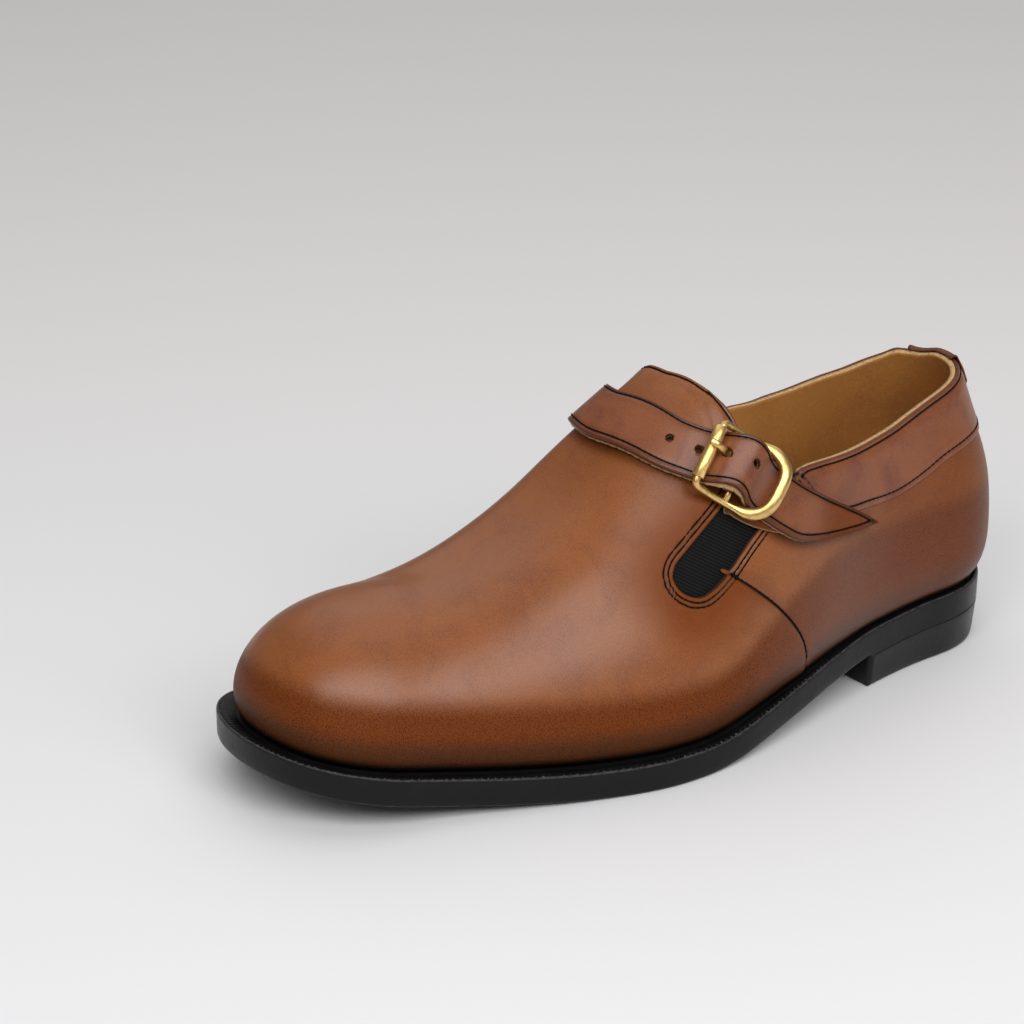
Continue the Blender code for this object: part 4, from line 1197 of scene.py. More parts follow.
def side_way(d):
    """How far the strap and its loop lie towards the upper rod of the buckle."""
    return STRAP_SIDE * np.exp(-((d + 1.5) / SIDE_SPAN) ** 2)


def on_strap(points):
    """Strap coordinates (along, across, height), following the curve of the upper, to the shoe."""
    p = np.asarray(points, float)
    foot, _tangent, across, out = strap_at(p[..., 0])
    return foot + (p[..., 1] + side_way(p[..., 0]))[..., None] * across + p[..., 2:3] * out


def on_buckle(points):
    """Straight buckle coordinates (along, across, height) to the shoe."""
    p = np.asarray(points, float)
    foot, tangent, across, out = BUCKLE
    return foot + p[..., :1] * tangent + p[..., 1:2] * across + p[..., 2:3] * out


SWELL, SWELL_AT, SWELL_SPAN = 1.3, -37.0, 15.0


def strap_edges(d):
    """Across positions of the lower and upper edge of the strap at each distance along it."""
    low = -curve(STRAP_END - d, STRAP_TIP[:, 0], STRAP_TIP[:, 1])
    high = STRAP_W / 2 - 0.5 * smooth((d - STRAP_END + 1.5) / 1.5) + SWELL * groove(d, SWELL_AT, SWELL_SPAN)
    return low, np.maximum(high, low + 0.05)


STRAP_ROWS = (2.1, 1.25)


def strap_layer(bottom, top, wider, dome, fray=0.0):
    """One leather layer of the strap: a rounded profile along the strap from start to tip."""
    d = STRAP_START + (STRAP_END - STRAP_START) * (np.linspace(0, 1, 330) ** 0.97)
    low, high = strap_edges(d)
    low, high = low - wider, high + wider
    if fray:
        wave = np.sin(d * 2.1) + np.sin(d * 3.7 + 1) + 0.7 * np.sin(d * 6.1 + 2)
        low = low - fray * 0.35 * wave - 1.3 * groove(d, -3.0, 6.0)
        high = high + fray * 0.3 * np.roll(wave, 17)
    rise = curve(d, STRAP_RISE[:, 0], STRAP_RISE[:, 1])
    s = both_ends(23, 0.8)
    r = min(0.45, (top - bottom) / 2.2)
    width = (high - low)[:, None]
    a = low[:, None] + width * s
    slope = np.cos(np.arctan(np.gradient(low, d)))[:, None]
    near_low, near_high = (a - low[:, None]) * slope, high[:, None] - a
    near = np.minimum(np.minimum(near_low, near_high), (STRAP_END + wider - d)[:, None] * 3 + 0.02)
    sewn = sewn_rows(near_low, (STRAP_ROWS[0], 0.42)) + sewn_rows(near_high, (STRAP_ROWS[1], 0.42))
    up = top + dome * rounded(near, 3.0) - (r + dome) * (1 - rounded(near, r + 0.15))
    if dome:
        up = up - 0.28 * sewn
    down = bottom + 0 * a
    ring_a = np.concatenate([a, a[:, ::-1]], 1)
    ring_h = np.concatenate([np.maximum(up, bottom + 0.05), down], 1) + rise[:, None]
    ring_near = np.concatenate([near, near[:, ::-1] * 0], 1)
    ring_sewn = np.concatenate([sewn, sewn * 0], 1)
    points = on_strap(np.stack([np.broadcast_to(d[:, None], ring_a.shape), ring_a, ring_h], -1))
    shape = Shape()
    add_tube(shape, points, near=ring_near, sewn=ring_sewn, run=np.repeat(d, ring_a.shape[1]))
    return shape.mesh("strap", weld=0.01)


def loop_mesh():
    """Loop of the buckle: a flat section carried round the bar, its lower end spread into a tab."""
    path = along(CHAPE_PATH, 110)
    turn = int(np.argmin(path[:, 0]))
    w, t = CHAPE_W / 2, CHAPE_T / 2
    d = path[:, 0]
    spread = curve(d, CHAPE_LOW[:, 0], CHAPE_LOW[:, 1]) + side_way(d)
    low = np.where(np.arange(len(d)) < turn, spread, w + 0.4)
    drop = np.interp(d, [0, 5, 12], [-0.010, -0.008, 0.001])
    s = np.concatenate([np.linspace(0, 1, 8), np.linspace(1, 0, 8)])
    high = np.concatenate([np.full(8, t), np.full(8, -t)])
    a = -low[:, None] + s * (low[:, None] + w)
    a[:, 0] += 0.3
    a[:, 15] += 0.3
    h = high - drop[:, None] * np.maximum(-a - w, 0) ** 2
    a = np.concatenate([a[:, :8], a[:, 7:8] + 0.25, a[:, 8:], a[:, 15:] - 0.5], 1)
    h = np.concatenate([h[:, :8], h[:, 7:8] - t, h[:, 8:], h[:, 15:] + t], 1)
    tangent = unit(np.gradient(path, axis=0))
    normal = np.stack([-tangent[:, 1], tangent[:, 0]], -1)
    pts = np.stack([path[:, :1] + normal[:, :1] * h, a, path[:, 1:] + normal[:, 1:] * h], -1)
    loop = Shape()
    add_tube(loop, on_strap(pts), layer=np.tile([1.0] * 8 + [0.0] + [1.0] * 8 + [0.0], len(path)))
    return loop.mesh("chape")


def carve(me, cutters):
    """Takes each cutter mesh out of the mesh for good."""
    ob = bpy.data.objects.new("blank", me)
    bpy.context.scene.collection.objects.link(ob)
    for c in cutters:
        tool = bpy.data.objects.new("tool", c)
        bpy.context.scene.collection.objects.link(tool)
        mod = ob.modifiers.new("cut", "BOOLEAN")
        mod.operation, mod.solver, mod.object = "DIFFERENCE", "EXACT", tool
        graph = bpy.context.evaluated_depsgraph_get()
        done = bpy.data.meshes.new_from_object(ob.evaluated_get(graph))
        ob.modifiers.clear()
        ob.data = done
        bpy.data.objects.remove(tool)
    me = ob.data
    bpy.data.objects.remove(ob)
    me.polygons.foreach_set("use_smooth", np.ones(len(me.polygons), bool))
    return me


def punch(d, across, radius, low, high, make=on_strap):
    """Round cutter standing on the strap."""
    w = circle(24)
    ring = np.stack([d + radius * np.cos(w), across + radius * np.sin(w)], -1)
    shape = Shape()
    add_tube(shape, make(np.stack([np.column_stack([ring, np.full(24, h)]) for h in (low, high)])))
    return shape.mesh("punch")


def block(a, b, half, low, high):
    """Straight cutter in buckle coordinates."""
    corners = ((a, -half), (b, -half), (b, half), (a, half))
    p = [(x, y + STRAP_SIDE, z) for z in (low, high) for x, y in corners]
    faces = [(0, 1, 2, 3), (4, 5, 6, 7), (0, 1, 5, 4), (1, 2, 6, 5), (2, 3, 7, 6), (3, 0, 4, 7)]
    shape = Shape()
    shape.add(on_buckle(np.array(p, float)), np.array(faces))
    return shape.mesh("block")


def bow(d):
    """Height of the frame wire over the upper: rising with the square of the distance from the bar."""
    rise = np.where(d < CENTRE_BAR, FRAME_BOW, CRESCENT_BOW)
    return CENTRE_H + rise * ((d - CENTRE_BAR) / FRAME_BACK) ** 2


def wire(path, wide, high, sides=24, closed=False, squareness=2.0):
    """Superellipse sections along a path in buckle coordinates."""
    d = (np.roll(path, -1, 0) - np.roll(path, 1, 0)) if closed else np.gradient(path, axis=0)
    tangent = unit(d)
    up = np.zeros_like(tangent)
    up[:, 2] = 1.0
    up[np.abs(tangent[:, 2]) > 0.9] = (0.0, 1.0, 0.0)
    across = unit(np.cross(tangent, up))
    up = np.cross(across, tangent)
    w = circle(sides)
    c = np.sign(np.cos(w)) * np.abs(np.cos(w)) ** (2 / squareness)
    s = np.sign(np.sin(w)) * np.abs(np.sin(w)) ** (2 / squareness)
    wide, high = np.broadcast_to(wide, len(path)), np.broadcast_to(high, len(path))
    aside, over = (wide[:, None] * c)[..., None], (high[:, None] * s)[..., None]
    return on_buckle(path[:, None] + across[:, None] * aside + up[:, None] * over)


def add_tube(shape, points, closed=False, **values):
    """Adds rings of points as a tube, closed round or capped at its ends."""
    n, m = points.shape[:2]
    start = shape.add(points, quads(n, m, wrap_rows=closed, wrap_cols=True), **values)
    if not closed:
        shape.join(strip_cap(start, m))
        shape.join(strip_cap(start + (n - 1) * m, m, flip=True))


def frame_path():
    """Middle line of the buckle frame: square corners at the roller, a broad crescent at the back."""
    c, w = 1.6, FRAME_HALF_W
    a = np.linspace(0, np.pi / 2, 9)
    turn = lambda x, y: np.column_stack([x, y])
    straight = lambda x, y0, y1, n: np.column_stack([np.full(n, x), np.linspace(y0, y1, n)])
    rod = lambda x0, x1, y, n: np.column_stack([np.linspace(x0, x1, n), np.full(n, y)])
    b = np.linspace(0, np.pi, 65)
    start = 5.0
    parts = [
        turn(FRAME_FRONT + c - c * np.sin(a), -w + c - c * np.cos(a)),
        straight(FRAME_FRONT, -w + c + 1, w - c - 1, 9),
        turn(FRAME_FRONT + c - c * np.cos(a), w - c + c * np.sin(a)),
        rod(FRAME_FRONT + c + 1, start - 1.0, w, 14),
        turn(start + (FRAME_BACK - start) * np.sin(b), w * np.sign(np.cos(b)) * np.abs(np.cos(b)) ** 0.6),
        rod(start - 1.0, FRAME_FRONT + c + 1, -w, 14)]
    p = np.concatenate(parts)
    p = resample(np.concatenate([p, p[:1]]), 0.6)[:-1]
    kernel = np.array([1, 2, 3, 2, 1], float) / 9
    pad = np.concatenate([p[-2:], p, p[:2]])
    p = np.stack([np.convolve(pad[:, k], kernel, "valid") for k in (0, 1)], -1)
    return np.column_stack([p, bow(p[:, 0])])


# ---------------------------------------------------------------- sole

def sole_loop(count):
    """Values (u, side) at even arc length round the sole: lateral side out, medial side back."""
    u = np.linspace(0, 1, 1500)
    out_u, out_side = [], []
    for side in (1, -1):
        run = lengths(edge(u, side))
        q = np.linspace(0, run[-1], count // 2 + 1)
        uu = np.interp(q, run, u)
        out_u.append(uu if side > 0 else uu[-2:0:-1])
        out_side.append(np.full(len(out_u[-1]), side))
    return np.concatenate(out_u), np.concatenate(out_side)


def ring_at(u, side, inset):
    """Points of the sole edge moved inward, for mixed sides."""
    inset = np.broadcast_to(inset, u.shape)
    out = np.empty((len(u), 2))
    for s in (1, -1):
        k = side == s
        out[k] = inset_edge(u[k], s, inset[k])
    return out


TICK_DEPTH = 0.32


def sole_mesh(count, tick_pitch):
    """Sole and welt as one block: a profile carried round the edge, wheel ticks pressed in its ledge."""
    u, side = sole_loop(count)
    ledge = curve(station(u), LEDGE[:, 0], LEDGE[:, 1])
    flat = ring_at(u, side, 0.0)
    run = lengths(np.concatenate([flat, flat[:1]]))
    turns = round(run[-1] / tick_pitch)
    wave = 0.5 + 0.5 * np.cos(2 * np.pi * run[:-1] / run[-1] * turns)
    t = station(u)
    wheeled = smooth((215 - t) / 20)
    tick = wheeled * np.clip(wave * 1.6 - 0.5, 0, 1)
    top = SOLE_T
    rows = [
        # inset, height, wheel share, kind, painted corner sheen
        (9.0, 0.0, 0, 1, 0), (3.0, 0.0, 0, 1, 0), (1.3, 0.03, 0, 1, 0), (0.6, 0.22, 0, 0, 0), (0.18, 0.6, 0, 0, 0),
        (0.0, 1.2, 0, 0, 0), (0.0, 3.4, 0, 0, 0), (0.0, 5.8, 0, 0, 0), (0.0, 8.2, 0, 0, 0), (0.02, 8.75, 0, 0, 0),
        (0.12, 9.1, 0, 0, 0.4), (0.36, 9.34, 0, 0, 1), (0.7, top, 0, 0, 1), (0.95, top - 0.02, 0.3, 0, 0.2),
        (1.2, top - 0.05, 1, 0, 0), (1.6, top - 0.06, 1, 0, 0), (2.0, top - 0.05, 1, 0, 0),
        (2.4, top - 0.04, 0.3, 0, 0)]
    shape = Shape()
    loops, kinds, ticks, worn = [], [], [], []
    narrow = np.clip(ledge / 6.6, 0.3, 1)

    def ring(inset, up, share=0, kind=0, corner_sheen=0):
        """Adds one loop of the profile, its wheel marks and its painted corner sheen."""
        p = ring_at(u, side, inset)
        loops.append(np.column_stack([p, sole_z(p[:, 1]) + up - TICK_DEPTH * share * tick]))
        kinds.append(kind)
        ticks.append(share * tick)
        worn.append(corner_sheen + 0 * tick)

    for inset, up, share, kind, corner_sheen in rows:
        squeeze = np.where(inset > 0.9, 0.9 + (inset - 0.9) * narrow, inset) if up > 5 else inset
        if up < 1.3 and inset < 2:
            squeeze = inset * (1 - smooth((t - HEEL_BREAST + 3) / 4))
        ring(squeeze, up, share, kind, corner_sheen)
    for k, drop in ((0.62, 0.1), (0.8, 0.75), (0.93, 1.1), (1.0, 1.0)):
        ring(ledge * k, top - drop * (0.4 + 0.6 * narrow))
    for extra in (1.0, 9.0):
        ring(ledge + extra, top - 0.4)
    m = len(u)
    points = np.stack(loops)
    level = points[..., 2] - sole_z(points[..., 1])
    shape.add(points, np.zeros((0, 4), int), tick=np.stack(ticks), worn=np.stack(worn), level=level)
    faces = quads(len(loops), m, wrap_cols=True).reshape(len(loops) - 1, m, 4)
    for k in range(len(loops) - 1):
        shape.join(faces[k], kinds[k + 1])
    shape.join(strip_cap(0, m), 1)
    shape.join(strip_cap((len(loops) - 1) * m, m, flip=True))
    return shape.mesh("sole")


def heel_mesh():
    """Heel block: loops of the seat edge cut square at the breast, tapering a little to the ground."""
    breast = HEEL_BREAST - LENGTH / 2
    rows = [(0.0, 1.0), (0.0, 0.93), (0.25, 0.8), (0.6, 0.5), (1.0, 0.2), (1.2, 0.09), (1.5, 0.03), (2.1, 0.0)]
    n = 60
    loops = []
    for inset, up in rows:
        u0 = 0.5
        for _ in range(30):
            u0 += (breast - inset_edge(np.array([u0]), 1, inset)[0, 1]) / (LENGTH * np.pi / 2)
        u = np.linspace(u0, 1, n + 1)
        p = np.concatenate([inset_edge(u, 1, inset), inset_edge(u, -1, inset)[-2::-1]])
        inner = 0.5 * np.clip(inset - 1.0, 0, 1)
        p[0, 1] = p[-1, 1] = breast
        p[:, 1] = np.maximum(p[:, 1], breast + inner)
        front = np.column_stack([np.linspace(p[-1, 0], p[0, 0], 24)[1:-1], np.full(22, breast + inner)])
        p = np.concatenate([p, front])
        p = np.concatenate([p, p[-1:]]) if len(p) % 2 else p
        loops.append(np.column_stack([p, (sole_z(p[:, 1]) - 0.02) * up]))
    m = len(loops[0])
    shape = Shape()
    level = np.repeat([r[1] for r in rows], m)
    shape.add(np.concatenate(loops), quads(len(rows), m, wrap_cols=True), level=level)
    for row in (0, len(rows) - 1):
        centre = loops[row].mean(0)
        k = shape.add(centre[None], np.zeros((0, 3), int))
        i = row * m + np.arange(m)
        j = row * m + (np.arange(m) + 1) % m
        shape.join(np.stack([i, j, np.full(m, k)], -1))
    return shape.mesh("heel")


def sock_mesh():
    """Insole sock: a low pad inside the feather line with a rounded rim and a soft dip under the heel."""
    u = np.linspace(0, 1, 91)
    loops = []
    for inset, up in ((0.0, 0.1), (-0.5, 1.2), (-0.4, 2.0), (0.4, 2.4), (3.0, 2.5), (9.0, 2.3), (16.0, 2.2)):
        lat, med = feather(u, 1, 3.2 + inset), feather(u, -1, 3.2 + inset)
        p = np.concatenate([lat, med[-2:0:-1]])
        loops.append(np.column_stack([p, sole_z(p[:, 1]) + SOLE_T + up]))
    shape = Shape()
    add_tube(shape, np.stack(loops))
    return shape.mesh("sock")


# ---------------------------------------------------------------- settings

def colour_prop(name, description, default):
    return bpy.props.FloatVectorProperty(name=name, description=description, default=default,
                                         subtype="COLOR", size=3, min=0.0, max=1.0)


def length_prop(name, description, default):
    return bpy.props.FloatProperty(name=name, description=description, default=default * MM,
                                   subtype="DISTANCE", unit="LENGTH", min=0.0, precision=5)


class ShoeLeather(bpy.types.PropertyGroup):
    """Colours and thicknesses of the upper and its lining."""
    calf: colour_prop("Calf", "Burnished calf of the vamp", (0.29, 0.09, 0.021))
    deep: colour_prop("Deep Calf", "Darker tone of the burnished calf", (0.165, 0.036, 0.003))
    quarter: colour_prop("Collar Calf", "Calf of the collar band and the strap", (0.26, 0.08, 0.026))
    lining: colour_prop("Lining", "Lining leather", (0.42, 0.18, 0.043))
    raw: colour_prop("Raw Edge", "Cut edge of the lining", (0.66, 0.44, 0.22))
    thread: colour_prop("Thread", "Stitching thread", (0.006, 0.003, 0.0025))
    elastic: colour_prop("Elastic", "Woven elastic", (0.0045, 0.0045, 0.005))
    skin: length_prop("Skin Thickness", "Thickness of the outer leather", 1.0)
    backing: length_prop("Lining Thickness", "Thickness of the lining", 1.8)
    band: length_prop("Band Height", "Height of the collar band over the skin", 0.95)
    rib_pitch: length_prop("Rib Pitch", "Distance between the ribs of the elastic", 1.05)
    rib_height: length_prop("Rib Height", "Height of the ribs of the elastic", 0.2)


class ShoeStitching(bpy.types.PropertyGroup):
    """Sizes of the stitches."""
    pitch: length_prop("Pitch", "Distance from stitch to stitch", 2.1)
    length: length_prop("Length", "Length of one stitch", 1.95)
    radius: length_prop("Radius", "Radius of the thread", 0.27)


class ShoeStrap(bpy.types.PropertyGroup):
    """Sizes of the strap and finish of the buckle."""
    top: length_prop("Top Layer", "Thickness of the outer leather of the strap", 1.5)
    dome: length_prop("Dome", "Rise of the middle of the strap over its edges", 0.18)
    hole: length_prop("Hole Radius", "Radius of the punched holes", 1.3)
    brass: colour_prop("Brass", "Colour of the buckle", (0.78, 0.53, 0.2))


class ShoeSole(bpy.types.PropertyGroup):
    """Colours of the sole and pitch of the wheeled welt."""
    edge: colour_prop("Edge", "Dyed edge of the sole and the heel", (0.005, 0.005, 0.0055))
    tread: colour_prop("Tread", "Natural leather under the sole", (0.36, 0.2, 0.09))
    tick: length_prop("Tick Pitch", "Distance between the wheel marks on the welt", 2.2)


def power_prop(name, description, default):
    return bpy.props.FloatProperty(name=name, description=description, default=default, min=0, unit="POWER")


class ShoeStage(bpy.types.PropertyGroup):
    """Camera, floor and light."""
    lens: bpy.props.FloatProperty(name="Lens", description="Focal length", default=94.85, min=10,
                                  subtype="DISTANCE_CAMERA")
    floor: colour_prop("Floor", "Colour of the floor near the shoe", (0.87, 0.87, 0.885))
    back: colour_prop("Floor Behind", "Colour of the floor behind the shoe", (0.92, 0.9, 0.895))
    key: power_prop("Key Light", "Power of the soft light in front", 18.0)
    side: power_prop("Side Light", "Power of the small light by the heel", 3.2)
    top: power_prop("Top Light", "Power of the large light overhead", 26.0)
    sky: bpy.props.FloatProperty(name="Sky", description="Strength of the even light", default=0.17, min=0)


# ---------------------------------------------------------------- finishes of this shoe

def calf_finish(name, calf, deep, attributes, mottle=0.3):
    """Burnished calf: soft patches, fine dark speckle with pale flecks, darker seams and edges, pebbled grain,
    darker towards the heel; painted shade at the foot by the welt (with its ink), in the seam's crease, in the
    stitch grooves and under the strap, a painted dark band low on the sides, and painted glints in the pale
    flecks.
    """
    f = Finish(name, Base_Color=calf, Roughness=0.45, Specular_IOR_Level=0.12, Coat_Weight=0.6,
               Coat_Roughness=0.33)
    broad = f.noise(22, 2.0, 0.5).ramp(0.36, 0.68)
    cloud = f.noise(70, 3.0, 0.6, distort=0.6).ramp(0.42, 0.74)
    pebble = f.noise(2700, 2.0, 0.65)
    plum = (calf[0] * 0.55, calf[1] * 0.42, calf[2] * 0.8)
    colour = f.mix(broad * 0.28, calf, shade(deep, 1.25))
    colour = f.mix(cloud * mottle, colour, plum)
    speck = pebble.ramp(0.46, 0.62)
    strength = 0.24 + cloud * 0.12
    polish = 0.6 + broad * 0.25
    pale = 0.2
    dark = None
    if "foot" in attributes:
        foot = f.value("foot")
        rear = f.axis(1).ramp(-0.01, 0.05)
        # Painted shade: a dark band low on the sides, where the polished calf would reflect the dark room, painted
        # in as deep calf with less coat; its dark speckle is stronger there.
        reflection_shade_band = 1 - (foot - rear * 14).ramp(17, 25)
        colour = f.mix(reflection_shade_band * 0.95, colour, deep)
        strength = strength + reflection_shade_band * 0.45
        polish = polish * (1 - reflection_shade_band * (1 - rear))
        pale = (1 - reflection_shade_band * 0.8) * 0.2
        # The foot goes dark brown up to 13 mm above the welt and near black in its lowest 4 mm: partly the edge
        # ink of the shoe, partly painted shade where the upper turns under into the welt.
        dark = 1 - foot.ramp(1.0, 4.0)
        colour = f.mix((1 - foot.ramp(6, 13)) * 0.7, colour, (0.05, 0.022, 0.01))
        # Painted shade cast by the strap, with some darker burnish: deeper calf and less coat within a few mm
        # below its lower edge.
        near = 1 - f.value("strap").ramp(0.5, 4.5)
        colour = f.mix(near * 0.65, colour, shade(deep, 0.7))
        heel = f.axis(1).ramp(0.03, 0.1)
        colour = f.mix(heel * 0.5, colour, shade(deep, 0.85))
        polish = polish * (1 - near * 0.5) * (1 - heel * 0.5)
    colour = f.mix(speck * strength, colour, shade(deep, 0.3))
    # Pale flecks of the grain, which also stand in for painted glints on its bumps; fewer of them in the painted
    # dark band.
    colour = f.mix((1 - pebble.ramp(0.32, 0.5)) * pale, colour, shade(calf, 1.45))
    if "seam" in attributes:
        front = f.value("seam").ramp(-2, 3)
        seam = f.value("seam").op("ABSOLUTE")
        colour = f.mix((1 - seam.ramp(0.5, 6)) * 0.5, colour, shade(deep, 0.9))
        # Painted shade: a narrow near-black line in the crease of the side seam.
        colour = f.mix((1 - seam.ramp(0.15, 1.0)) * 0.9, colour, (0.02, 0.008, 0.003))
    rim = f.value(attributes[0])
    lip = 1 - rim.ramp(0.05, 0.9)
    if "slot" in attributes:
        round_slot = (1 - rim.ramp(4, 24)) * f.value("slot") * front
        colour = f.mix(round_slot * 0.75, colour, deep)
        polish = polish * (1 - round_slot * 0.85)
    if "hem" in attributes:
        lip = lip.op("MAXIMUM", 1 - f.value("hem").ramp(0.05, 1.0))
    if "near" in attributes:
        tip = f.value("run").ramp(STRAP_END - 36, STRAP_END - 18)
        colour = f.mix((1 - rim.ramp(0.4, 5)) * 0.6, colour, shade(deep, 0.85))
        colour = f.mix(tip * 0.75, colour, deep)
        colour = f.mix((1 - rim.ramp(0.3, 2.0)) * 0.8, colour, shade(deep, 0.5))
        polish = polish * (1 - tip * 0.8)
    sewn = f.value("sewn")
    # Painted shade in the stitch grooves: the calf goes near black along the sewn rows.
    colour = f.mix(sewn.ramp(0.1, 0.9) * 0.9, colour, (0.012, 0.005, 0.003))
    colour = f.mix(lip * 0.75, colour, shade(deep, 0.55))
    # Near-black foot by the welt: partly ink, partly painted shade.
    if dark:
        colour = f.mix(dark * 0.95, colour, (0.004, 0.003, 0.003))
    crease = f.noise(260, 3.0, 0.6, distort=0.4)
    rough = 0.4 + cloud * 0.08 + pebble * 0.1 + lip * 0.1
    return f.wear(Base_Color=colour, Roughness=rough, Coat_Weight=polish,
                  Normal=f.bumps((crease, 0.05), (pebble, 0.16)))


def tab_finish(name, calf, deep):
    """Calf of the heel tab: burnished dark along its fold, its ends and its foot."""
    f = Finish(name, Base_Color=calf, Roughness=0.5, Specular_IOR_Level=0.12, Coat_Weight=0.4,
               Coat_Roughness=0.35)
    pebble = f.noise(1800, 2.0, 0.6)
    ends = 1 - f.value("rim").ramp(0.4, 1.8)
    ends = ends * (1 - f.value("fold").ramp(1.5, 3.0))
    fold = (1 - f.value("fold").ramp(0.0, 1.2)) * 0.7
    hem = 1 - f.value("hem").ramp(0.1, 0.9)
    c = f.mix(pebble.ramp(0.5, 0.68) * 0.35, calf, shade(deep, 0.3))
    c = f.mix(ends.op("MAXIMUM", fold).op("MAXIMUM", hem) * 0.9, c, shade(deep, 0.4))
    return f.wear(Base_Color=c, Coat_Weight=0.5 - fold * 0.2, Normal=f.bumps((pebble, 0.05)))


def raw_finish(name, colour, depth=0.25, dark=None):
    """Cut leather edge: pale fibres with darker flecks, painted near-black shade where the named attribute is 1.
    """
    f = Finish(name, Base_Color=colour, Roughness=0.85, Specular_IOR_Level=0.25)
    fleck = f.noise(900, 4.0, 0.7)
    c = f.mix(fleck.ramp(0.35, 0.75), colour, shade((colour[0], colour[1] * 0.85, colour[2] * 0.7), 0.55))
    front = 1 - f.axis(1).ramp(0.02, 0.06)
    c = f.mix(front * 0.4, c, (colour[0] * 0.72, colour[1] * 0.58, colour[2] * 0.7))
    if dark:
        # Painted shade: near black where the edge lies in the gap at the slot.
        c = f.mix(f.value(dark).ramp(0.0, 0.35), c, (0.008, 0.006, 0.005))
    return f.wear(Base_Color=c, Normal=f.bumps((fleck, depth)))


def layers_finish(name, skin, core):
    """Leather folded to a loop: dyed faces, a pale cut edge between them."""
    f = Finish(name, Base_Color=skin, Roughness=0.6, Specular_IOR_Level=0.2)
    fleck = f.noise(900, 4.0, 0.7)
    c = f.mix(fleck.ramp(0.3, 0.8) * 0.5, skin, shade(skin, 0.4))
    c = f.mix((1 - f.value("layer").ramp(0.35, 0.8)) * (0.4 + fleck * 0.6), c, shade(core, 0.8))
    return f.wear(Base_Color=c, Normal=f.bumps((fleck, 0.12)))


def edge_finish(name, colour):
    """Dyed cut edge of the outer leather."""
    f = Finish(name, Base_Color=colour, Roughness=0.6)
    fleck = f.noise(1100, 3.0, 0.6)
    c = f.mix(fleck.ramp(0.3, 0.8) * 0.6, colour, shade(colour, 2.2))
    return f.wear(Base_Color=c, Normal=f.bumps((fleck, 0.15)))


def lining_finish(name, colour):
    """Smooth lining leather with soft wear marks and pores, and painted shade along the slot's edge."""
    f = Finish(name, Base_Color=colour, Roughness=0.62, Specular_IOR_Level=0.35)
    worn = f.noise(42, 4.0, 0.6, distort=0.5).ramp(0.4, 0.72)
    under = f.value("slot") * (1 - f.value("rim").ramp(0.5, 3.0))
    fine = f.noise(700, 3.0, 0.65)
    c = f.mix(worn * 0.55, colour, shade((colour[0], colour[1] * 0.86, colour[2] * 0.7), 0.66))
    c = f.mix(fine.ramp(0.45, 0.75) * 0.35, c, shade(colour, 1.45))
    # Painted shade: near black where the lining lies in the gap at the slot's edge.
    c = f.mix(under, c, (0.01, 0.007, 0.005))
    return f.wear(Base_Color=c, Roughness=0.55 + worn * 0.2,
                  Normal=f.bumps((fine, 0.1), (f.cells(900), 0.05)))


def thread_finish(name, colour):
    """Waxed thread with a fine twist."""
    f = Finish(name, Base_Color=colour, Roughness=0.8, Specular_IOR_Level=0.1)
    twist = f.noise(2600, 2.0, 0.5)
    c = f.mix(twist.ramp(0.4, 0.7) * 0.5, colour, shade(colour, 3.0))
    return f.wear(Base_Color=c, Normal=f.bumps((twist, 0.08)))


def elastic_finish(name, colour):
    """Woven elastic: dull ribs with a fine cross weave, their crests painted lighter and their troughs painted
    darker as lit and shaded ribs.
    """
    f = Finish(name, Base_Color=colour, Roughness=0.8, Specular_IOR_Level=0.2)
    rib = f.value("rib")
    weave = f.noise(3000, 2.0, 0.6)
    # Painted light: lighter on the rib crests, darker in the troughs between them.
    c = f.mix(rib.ramp(0.2, 1.0) * 0.9, shade(colour, 0.3), shade(colour, 2.1))
    c = f.mix(weave.ramp(0.55, 0.8) * 0.35, c, shade(colour, 3.0))
    return f.wear(Base_Color=c, Normal=f.bumps((weave, 0.1)))


def brass_finish(name, colour):
    """Aged brass: clouded patina, dark specks, fine polish marks."""
    f = Finish(name, Base_Color=colour, Metallic=1.0, Roughness=0.32)
    cloud = f.noise(260, 4.0, 0.65, distort=0.5)
    speck = f.noise(1600, 3.0, 0.7).ramp(0.62, 0.78)
    c = f.mix(cloud.ramp(0.45, 0.75) * 0.6, colour, (colour[0] * 0.5, colour[1] * 0.47, colour[2] * 0.36))
    c = f.mix(speck * 0.45, c, (0.12, 0.08, 0.03))
    rough = 0.28 + cloud.ramp(0.35, 0.75) * 0.18 + speck * 0.2
    return f.wear(Base_Color=c, Roughness=rough, Normal=f.bumps((cloud, 0.06)))


def sole_finish(name, colour):
    """Waxed black edge: satin, with a painted highlight along its top corner and painted glints on the wheel
    marks.
    """
    f = Finish(name, Base_Color=colour, Roughness=0.3, Specular_IOR_Level=0.2)
    fine = f.noise(700, 3.0, 0.6)
    streak = f.noise(90, 3.0, 0.6)
    c = f.mix(streak.ramp(0.4, 0.8) * 0.5, colour, shade(colour, 1.9))
    c = f.mix(fine.ramp(0.6, 0.8) * 0.3, c, shade(colour, 3.2))
    # Painted highlight: lighter grey along the rounded top corner of the edge.
    c = f.mix(f.value("worn") * fine.ramp(0.25, 0.6) * 0.75, c, (0.085, 0.08, 0.085))
    # Painted glints: light grey dots on the wheel marks, where their ridges would catch the light.
    c = f.mix(f.value("tick").ramp(0.75, 1.0) * fine.ramp(0.35, 0.65) * 0.6, c, (0.3, 0.28, 0.27))
    rough = 0.27 + streak.ramp(0.3, 0.7) * 0.12 + fine * 0.06
    return f.wear(Base_Color=c, Roughness=rough, Normal=f.bumps((fine, 0.05), (streak, 0.2)))


